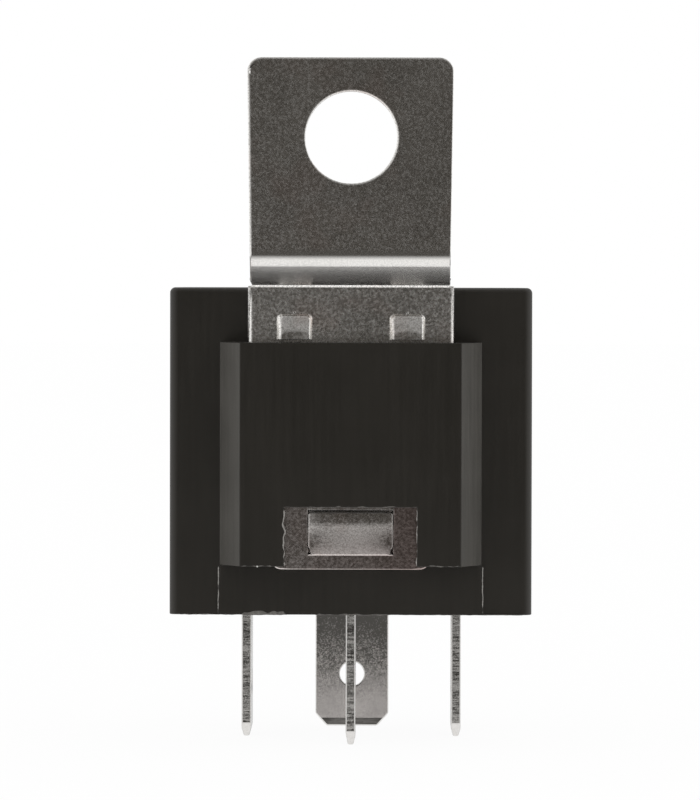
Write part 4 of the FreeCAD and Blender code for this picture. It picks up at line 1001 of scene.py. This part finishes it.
# Lengths of the steps along a ridge and a film, over how many steps their ends fade, the ridge's
# height as a share of its width, and the white grain
BEAD_STEP = 0.06
BEAD_CREST = 0.7
BEAD_ENDS = 3
FILM_STEP = 0.05
FILM_ENDS = 6
SPECK_PLACE = (-7.6, -17.72, 4.12)
SPECK_RADIUS = 0.07
SPECK_UNEVEN = 0.25


def add_bead(surface, start, end, half, wander, gaps, seed):
    """A ragged ridge on a front-facing wall, which fades where it breaks off.

    It runs from start to end with half its width given; wander is how far it strays, and larger
    gaps leave more of it whole.
    """
    start, end = Vector(start), Vector(end)
    run = end - start
    length = run.length
    run.normalize()
    side = Vector((0, 1, 0)).cross(run)
    count = max(8, int(length / BEAD_STEP))
    rows = []
    for step in range(count + 1):
        along = length * step / count
        drift = wander * noise.noise(Vector((along * 1.6, seed, 0.5)))
        broken = noise.noise(Vector((along * 1.7, seed, 7.5))) + gaps
        fine = noise.noise(Vector((along * 6.0, seed, 3.5)))
        ends = min(1.0, (count - step) / BEAD_ENDS, step / BEAD_ENDS)
        width = half * max(0.0, min(1.0, broken * 3)) * (1 + 0.5 * fine) * ends
        middle = start + run * along + side * drift
        crest = middle + Vector((0, -BEAD_CREST * width, 0))
        points = (middle - side * width, crest, middle + side * width)
        rows.append([surface.verts.new(point * MM) for point in points])
    add_rows(surface, rows)


def add_film(surface, left, right, wall, low, high, seed):
    """A torn film of flash along a wall's lower rim: it hangs down to low and climbs to high."""
    count = int((right - left) / FILM_STEP)
    rows = []
    for step in range(count + 1):
        x = left + (right - left) * step / count
        ends = min(1.0, step / FILM_ENDS, (count - step) / FILM_ENDS)
        rise = high * ends * max(0.0, 0.55 + 0.9 * noise.noise(Vector((x * 1.3, seed, 0.2))))
        drop = low * ends * max(0.0, 0.5 + noise.noise(Vector((x * 2.3, seed, 4.2))))
        lift = 0.03 + 0.03 * noise.noise(Vector((x * 3.1, seed, 8.2)))
        points = ((x, wall, rise), (x, wall - lift, rise * 0.8), (x, wall - 0.02, -drop),
                  (x, wall + 0.05, -drop))
        rows.append([surface.verts.new(Vector(point) * MM) for point in points])
    add_rows(surface, rows)


def make_flash(name, material, build):
    """Flash and painted-highlight ridges, made by a function that adds its ridges and films."""
    surface = bmesh.new()
    build(surface)
    bmesh.ops.dissolve_degenerate(surface, edges=surface.edges, dist=MERGE_GAP / 4)
    bmesh.ops.recalc_face_normals(surface, faces=surface.faces)
    shade_smooth(surface)
    piece = added(surface, name, material)
    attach(piece, HOUSING)


def light_lines(surface):
    """Painted highlights as light ridges beside the pad, and on the flash round the window."""
    for side in (-1, 1):
        low, high = ((side * PAD_SIDE, PAD_FRONT, z) for z in (0.15, 4.0))
        add_bead(surface, low, high, half=0.04, wander=0.04, gaps=0.7, seed=side)
    add_bead(surface, (-5.42, COVER_FRONT, WINDOW_FOOT), (-5.42, COVER_FRONT, 8.75),
             half=0.055, wander=0.16, gaps=0.6, seed=5.0)
    add_bead(surface, (5.44, COVER_FRONT, WINDOW_FOOT), (5.44, COVER_FRONT, 8.8),
             half=0.03, wander=0.08, gaps=0.3, seed=9.0)


def faint_lines(surface):
    """Fainter painted highlights over the window and by its foot, and flash along the lower rim."""
    add_bead(surface, (-5.3, COVER_FRONT, WINDOW_TOP), (5.4, COVER_FRONT, WINDOW_TOP),
             half=0.035, wander=0.08, gaps=0.02, seed=13.0)
    for side in (-1, 1):
        inner, outer = ((side * x, COVER_FRONT, COVER_FOOT) for x in (6.4, 8.9))
        add_bead(surface, inner, outer, half=0.04, wander=0.1, gaps=0.3, seed=21 + side)
    add_film(surface, -9.0, -5.2, PAD_FRONT, low=0.05, high=0.42, seed=31.0)
    add_film(surface, -2.9, 3.3, PAD_FRONT, low=0.1, high=0.1, seed=37.0)
    add_film(surface, -14.0, -9.2, WALL_FRONT, low=0.03, high=0.08, seed=41.0)
    add_film(surface, 4.0, 14.2, PAD_FRONT, low=0.02, high=0.06, seed=43.0)


def make_speck(material):
    """A white grain stuck at the cover's lower rim."""
    surface = bmesh.new()
    bmesh.ops.create_icosphere(surface, subdivisions=2, radius=SPECK_RADIUS * MM)
    for vert in surface.verts:
        vert.co *= 1 + SPECK_UNEVEN * noise.noise(vert.co / MM * 14)
    bmesh.ops.translate(surface, vec=Vector(SPECK_PLACE) * MM, verts=surface.verts)
    piece = added(surface, "speck", material)
    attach(piece, HOUSING)


# ---- the works inside

SPRING_FIXED = 14.2
SPRING_FREE = 19.4
SPRING_LEVELS = 14
EDGE_TURN = math.radians(40)

# Each carried-over piece of the works: its material and the width of its broken edges, or 0
WORKS = {
    "base_plate": ("base_black", 0.05),
    "bobbin": ("bobbin_cream", 0),
    "yoke": ("soft_iron", 0.04),
    "armature": ("soft_iron", 0.04),
    "core": ("soft_iron", 0),
    "armature_rivet_left": ("soft_iron", 0),
    "armature_rivet_right": ("soft_iron", 0),
    "spring_rivet_left": ("soft_iron", 0),
    "spring_rivet_right": ("soft_iron", 0),
    "terminal_rivet": ("soft_iron", 0),
    "armature_stop": ("blade_face", 0.04),
    "moving_contact": ("contact_silver", 0),
    "fixed_contact": ("contact_silver", 0),
    "coil_winding": ("winding_copper", 0),
    "coil_lead_85": ("winding_copper", 0),
    "coil_lead_86": ("winding_copper", 0),
    "coil_wrap": ("wrap_tape", 0),
}


def make_spring(material):
    """The leaf bends between its rivets on the yoke and the armature that it carries."""
    surface = merged("contact_spring")
    for step in range(SPRING_LEVELS + 1):
        height = SPRING_FIXED + (SPRING_FREE - SPRING_FIXED) * step / SPRING_LEVELS
        cut(surface, all_of(surface), UP, height)
    piece = added(surface, "spring_leaf", material)
    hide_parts("contact_spring")
    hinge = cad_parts["contact_spring"].data.vertices[0].co.y
    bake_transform(piece, HOUSING, "armature_group", start=(0, hinge, SPRING_FIXED * MM),
             end=(0, hinge, SPRING_FREE * MM))


def dress(node, material, width):
    """A carried-over piece gets its material and, where it has a width, slightly broken edges."""
    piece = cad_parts[node]
    piece.data.materials.clear()
    piece.data.materials.append(material)
    if width:
        weld = piece.modifiers.new("weld", "WELD")
        weld.merge_threshold = MERGE_GAP
        bevel = piece.modifiers.new("soft_edges", "BEVEL")
        bevel.limit_method = "ANGLE"
        bevel.angle_limit = EDGE_TURN
        bevel.width = width * MM
        bevel.segments = 2
        bevel.use_clamp_overlap = True


# ---- studio: a white room and floor, and a dark veil that only polished surfaces mirror

FLOOR_SIZE = 6.0
FLOOR_WHITE = (0.9, 0.9, 0.9)
FLOOR_SHADOW_SHARE = 0.045
ROOM_WHITE = (1, 1, 1)
VEIL_RADIUS = 0.3
VEIL_HEART = Vector((0, 0, 20 * MM))
VEIL_LEVEL = (0.072, 0.067, 0.0605)

# Degrees from straight ahead at which the veil begins to thin and at which it is gone. Above, it
# thins to a share only. Below, it first drops to a share and is gone further down
VEIL_LEFT = (8, 68)
VEIL_RIGHT = (24, 62)
VEIL_UP = (14, 26)
VEIL_UP_SHARE = 0.72
VEIL_DOWN = (8, 9.5, 32)
VEIL_DOWN_SHARE = 0.74

# Behind the object the veil is a faint ring: degrees from its middle
REAR_VEIL = (24, 52)
REAR_VEIL_SHARE = 0.6
REAR_GAP = (5, 14)

# Camera: eye, lens and tilt of the photograph
EYE = Vector((2.76 * MM, -447 * MM, 27.1 * MM))
TURN_LEFT = math.radians(0.3755)
TILT_DOWN = math.radians(1.25)
ROLL = math.radians(0.13)
SENSOR = 36
LENS = 236.8
CLIP_NEAR = 0.01
CLIP_FAR = 20


def floor_material():
    """White that looks even, apart from the light shadow that the object leaves on it."""
    material, tree, shader = new_material("studio_white")
    shader.inputs["Base Color"].default_value = (*FLOOR_WHITE, 1)
    shader.inputs["Roughness"].default_value = 1.0
    shader.inputs["Specular IOR Level"].default_value = 0.0
    glow = tree.nodes.new("ShaderNodeEmission")
    glow.inputs["Strength"].default_value = 1.0
    path = tree.nodes.new("ShaderNodeLightPath").outputs
    seen = joined(tree, "MAXIMUM", path["Is Camera Ray"], path["Is Glossy Ray"])
    seen = joined(tree, "MAXIMUM", seen, path["Is Transmission Ray"])
    share = joined(tree, "MULTIPLY", seen, 1 - FLOOR_SHADOW_SHARE)
    mix_shaders(tree, share, shader.outputs["BSDF"], glow.outputs["Emission"])
    return material


def make_floor(low_z):
    """The floor on which the object stands."""
    bpy.ops.mesh.primitive_plane_add(size=FLOOR_SIZE, location=(0, 0, low_z))
    floor = bpy.context.object
    floor.name = "studio_floor"
    floor.data.materials.append(floor_material())
    floor.visible_glossy = False


def veil_ahead(tree, turn, lift):
    """The veil's share before the object: it thins to the sides, above and below."""
    share = ranged(tree, turn, VEIL_RIGHT, (1, 0))
    for angle, ends, to in (
        (turn, (-VEIL_LEFT[1], -VEIL_LEFT[0]), (0, 1)),
        (lift, VEIL_UP, (1, VEIL_UP_SHARE)),
        (lift, (-VEIL_DOWN[1], -VEIL_DOWN[0]), (VEIL_DOWN_SHARE, 1)),
        (lift, (-VEIL_DOWN[2], -VEIL_DOWN[1]), (0, 1)),
    ):
        share = joined(tree, "MULTIPLY", share, ranged(tree, angle, ends, to))
    return share


def veil_behind(tree, turn, lift):
    """The veil's share behind the object: a ring round the view from straight behind."""
    behind = joined(tree, "SUBTRACT", 180, joined(tree, "ABSOLUTE", turn))
    off_axis = joined(tree, "MAXIMUM", behind, joined(tree, "ABSOLUTE", lift))
    return joined(tree, "MULTIPLY", ranged(tree, off_axis, REAR_VEIL, (REAR_VEIL_SHARE, 0)),
                  ranged(tree, off_axis, REAR_GAP))


def veil_material():
    """Dark where the veil hangs, and clear elsewhere."""
    material, tree, _ = new_material("veil")
    across, ahead, height = parts_of(tree, place_of(tree))
    turn = joined(tree, "ARCTAN2", across, joined(tree, "MULTIPLY", ahead, -1))
    lift = joined(tree, "ARCSINE", joined(tree, "DIVIDE", height, VEIL_RADIUS))
    turn, lift = joined(tree, "DEGREES", turn), joined(tree, "DEGREES", lift)
    share = joined(tree, "MAXIMUM", veil_ahead(tree, turn, lift), veil_behind(tree, turn, lift))
    card = tree.nodes.new("ShaderNodeEmission")
    card.inputs["Color"].default_value = (*VEIL_LEVEL, 1)
    clear = tree.nodes.new("ShaderNodeBsdfTransparent")
    mix_shaders(tree, share, clear.outputs["BSDF"], card.outputs["Emission"])
    return material


def make_veil():
    """The veil is a sphere round the object. The camera doesn't see it and it lights nothing."""
    surface = bmesh.new()
    bmesh.ops.create_uvsphere(surface, u_segments=96, v_segments=48, radius=VEIL_RADIUS)
    veil = added(surface, "veil", veil_material())
    veil.location = VEIL_HEART
    veil.visible_camera = False
    veil.visible_diffuse = False
    veil.visible_shadow = False


def make_world():
    """Even white all round."""
    world = bpy.data.worlds.new("studio_world")
    bpy.context.scene.world = world
    world.use_nodes = True
    background = world.node_tree.nodes["Background"]
    background.inputs["Color"].default_value = (*ROOM_WHITE, 1)
    background.inputs["Strength"].default_value = 1.0


def make_camera():
    """The photograph's view: a long lens, level with the top of the case."""
    data = bpy.data.cameras.new("camera")
    data.sensor_fit = "AUTO"
    data.sensor_width = SENSOR
    data.lens = LENS
    data.clip_start = CLIP_NEAR
    data.clip_end = CLIP_FAR
    camera = bpy.data.objects.new("camera", data)
    bpy.context.collection.objects.link(camera)
    tilt = Matrix.Rotation(math.pi / 2 - TILT_DOWN, 4, "X")
    turn = Matrix.Rotation(TURN_LEFT, 4, "Z") @ tilt
    camera.matrix_world = Matrix.Translation(EYE) @ turn @ Matrix.Rotation(ROLL, 4, "Z")
    bpy.context.scene.camera = camera


def main():
    bpy.context.scene.view_settings.view_transform = "Standard"
    looks = make_materials()
    make_case(looks["case_black"], looks["flank_matt_painted_sheen"])
    make_bracket(looks["zinc_plate"])
    shared = [looks[name] for name in ("blade_edge", "pressed_tip_painted_shade", "blade_tip")]
    for node in ("terminal_30", "terminal_85", "terminal_86"):
        make_blade(node, [looks["blade_side"], *shared])
    make_blade("terminal_87", [looks["blade_face"], *shared])
    # the ridges and flash carry painted highlights in their light grey
    make_flash("flash_highlight_bright", looks["flash_painted_highlight"], light_lines)
    make_flash("flash_highlight_faint", looks["flash_grey_painted_highlight"], faint_lines)
    make_speck(looks["grain_white"])
    make_spring(looks["spring_copper"])
    for node, (look, width) in WORKS.items():
        dress(node, looks[look], width)
    low, _ = cad_box
    make_floor(low.z)
    make_veil()
    make_world()
    make_camera()


main()
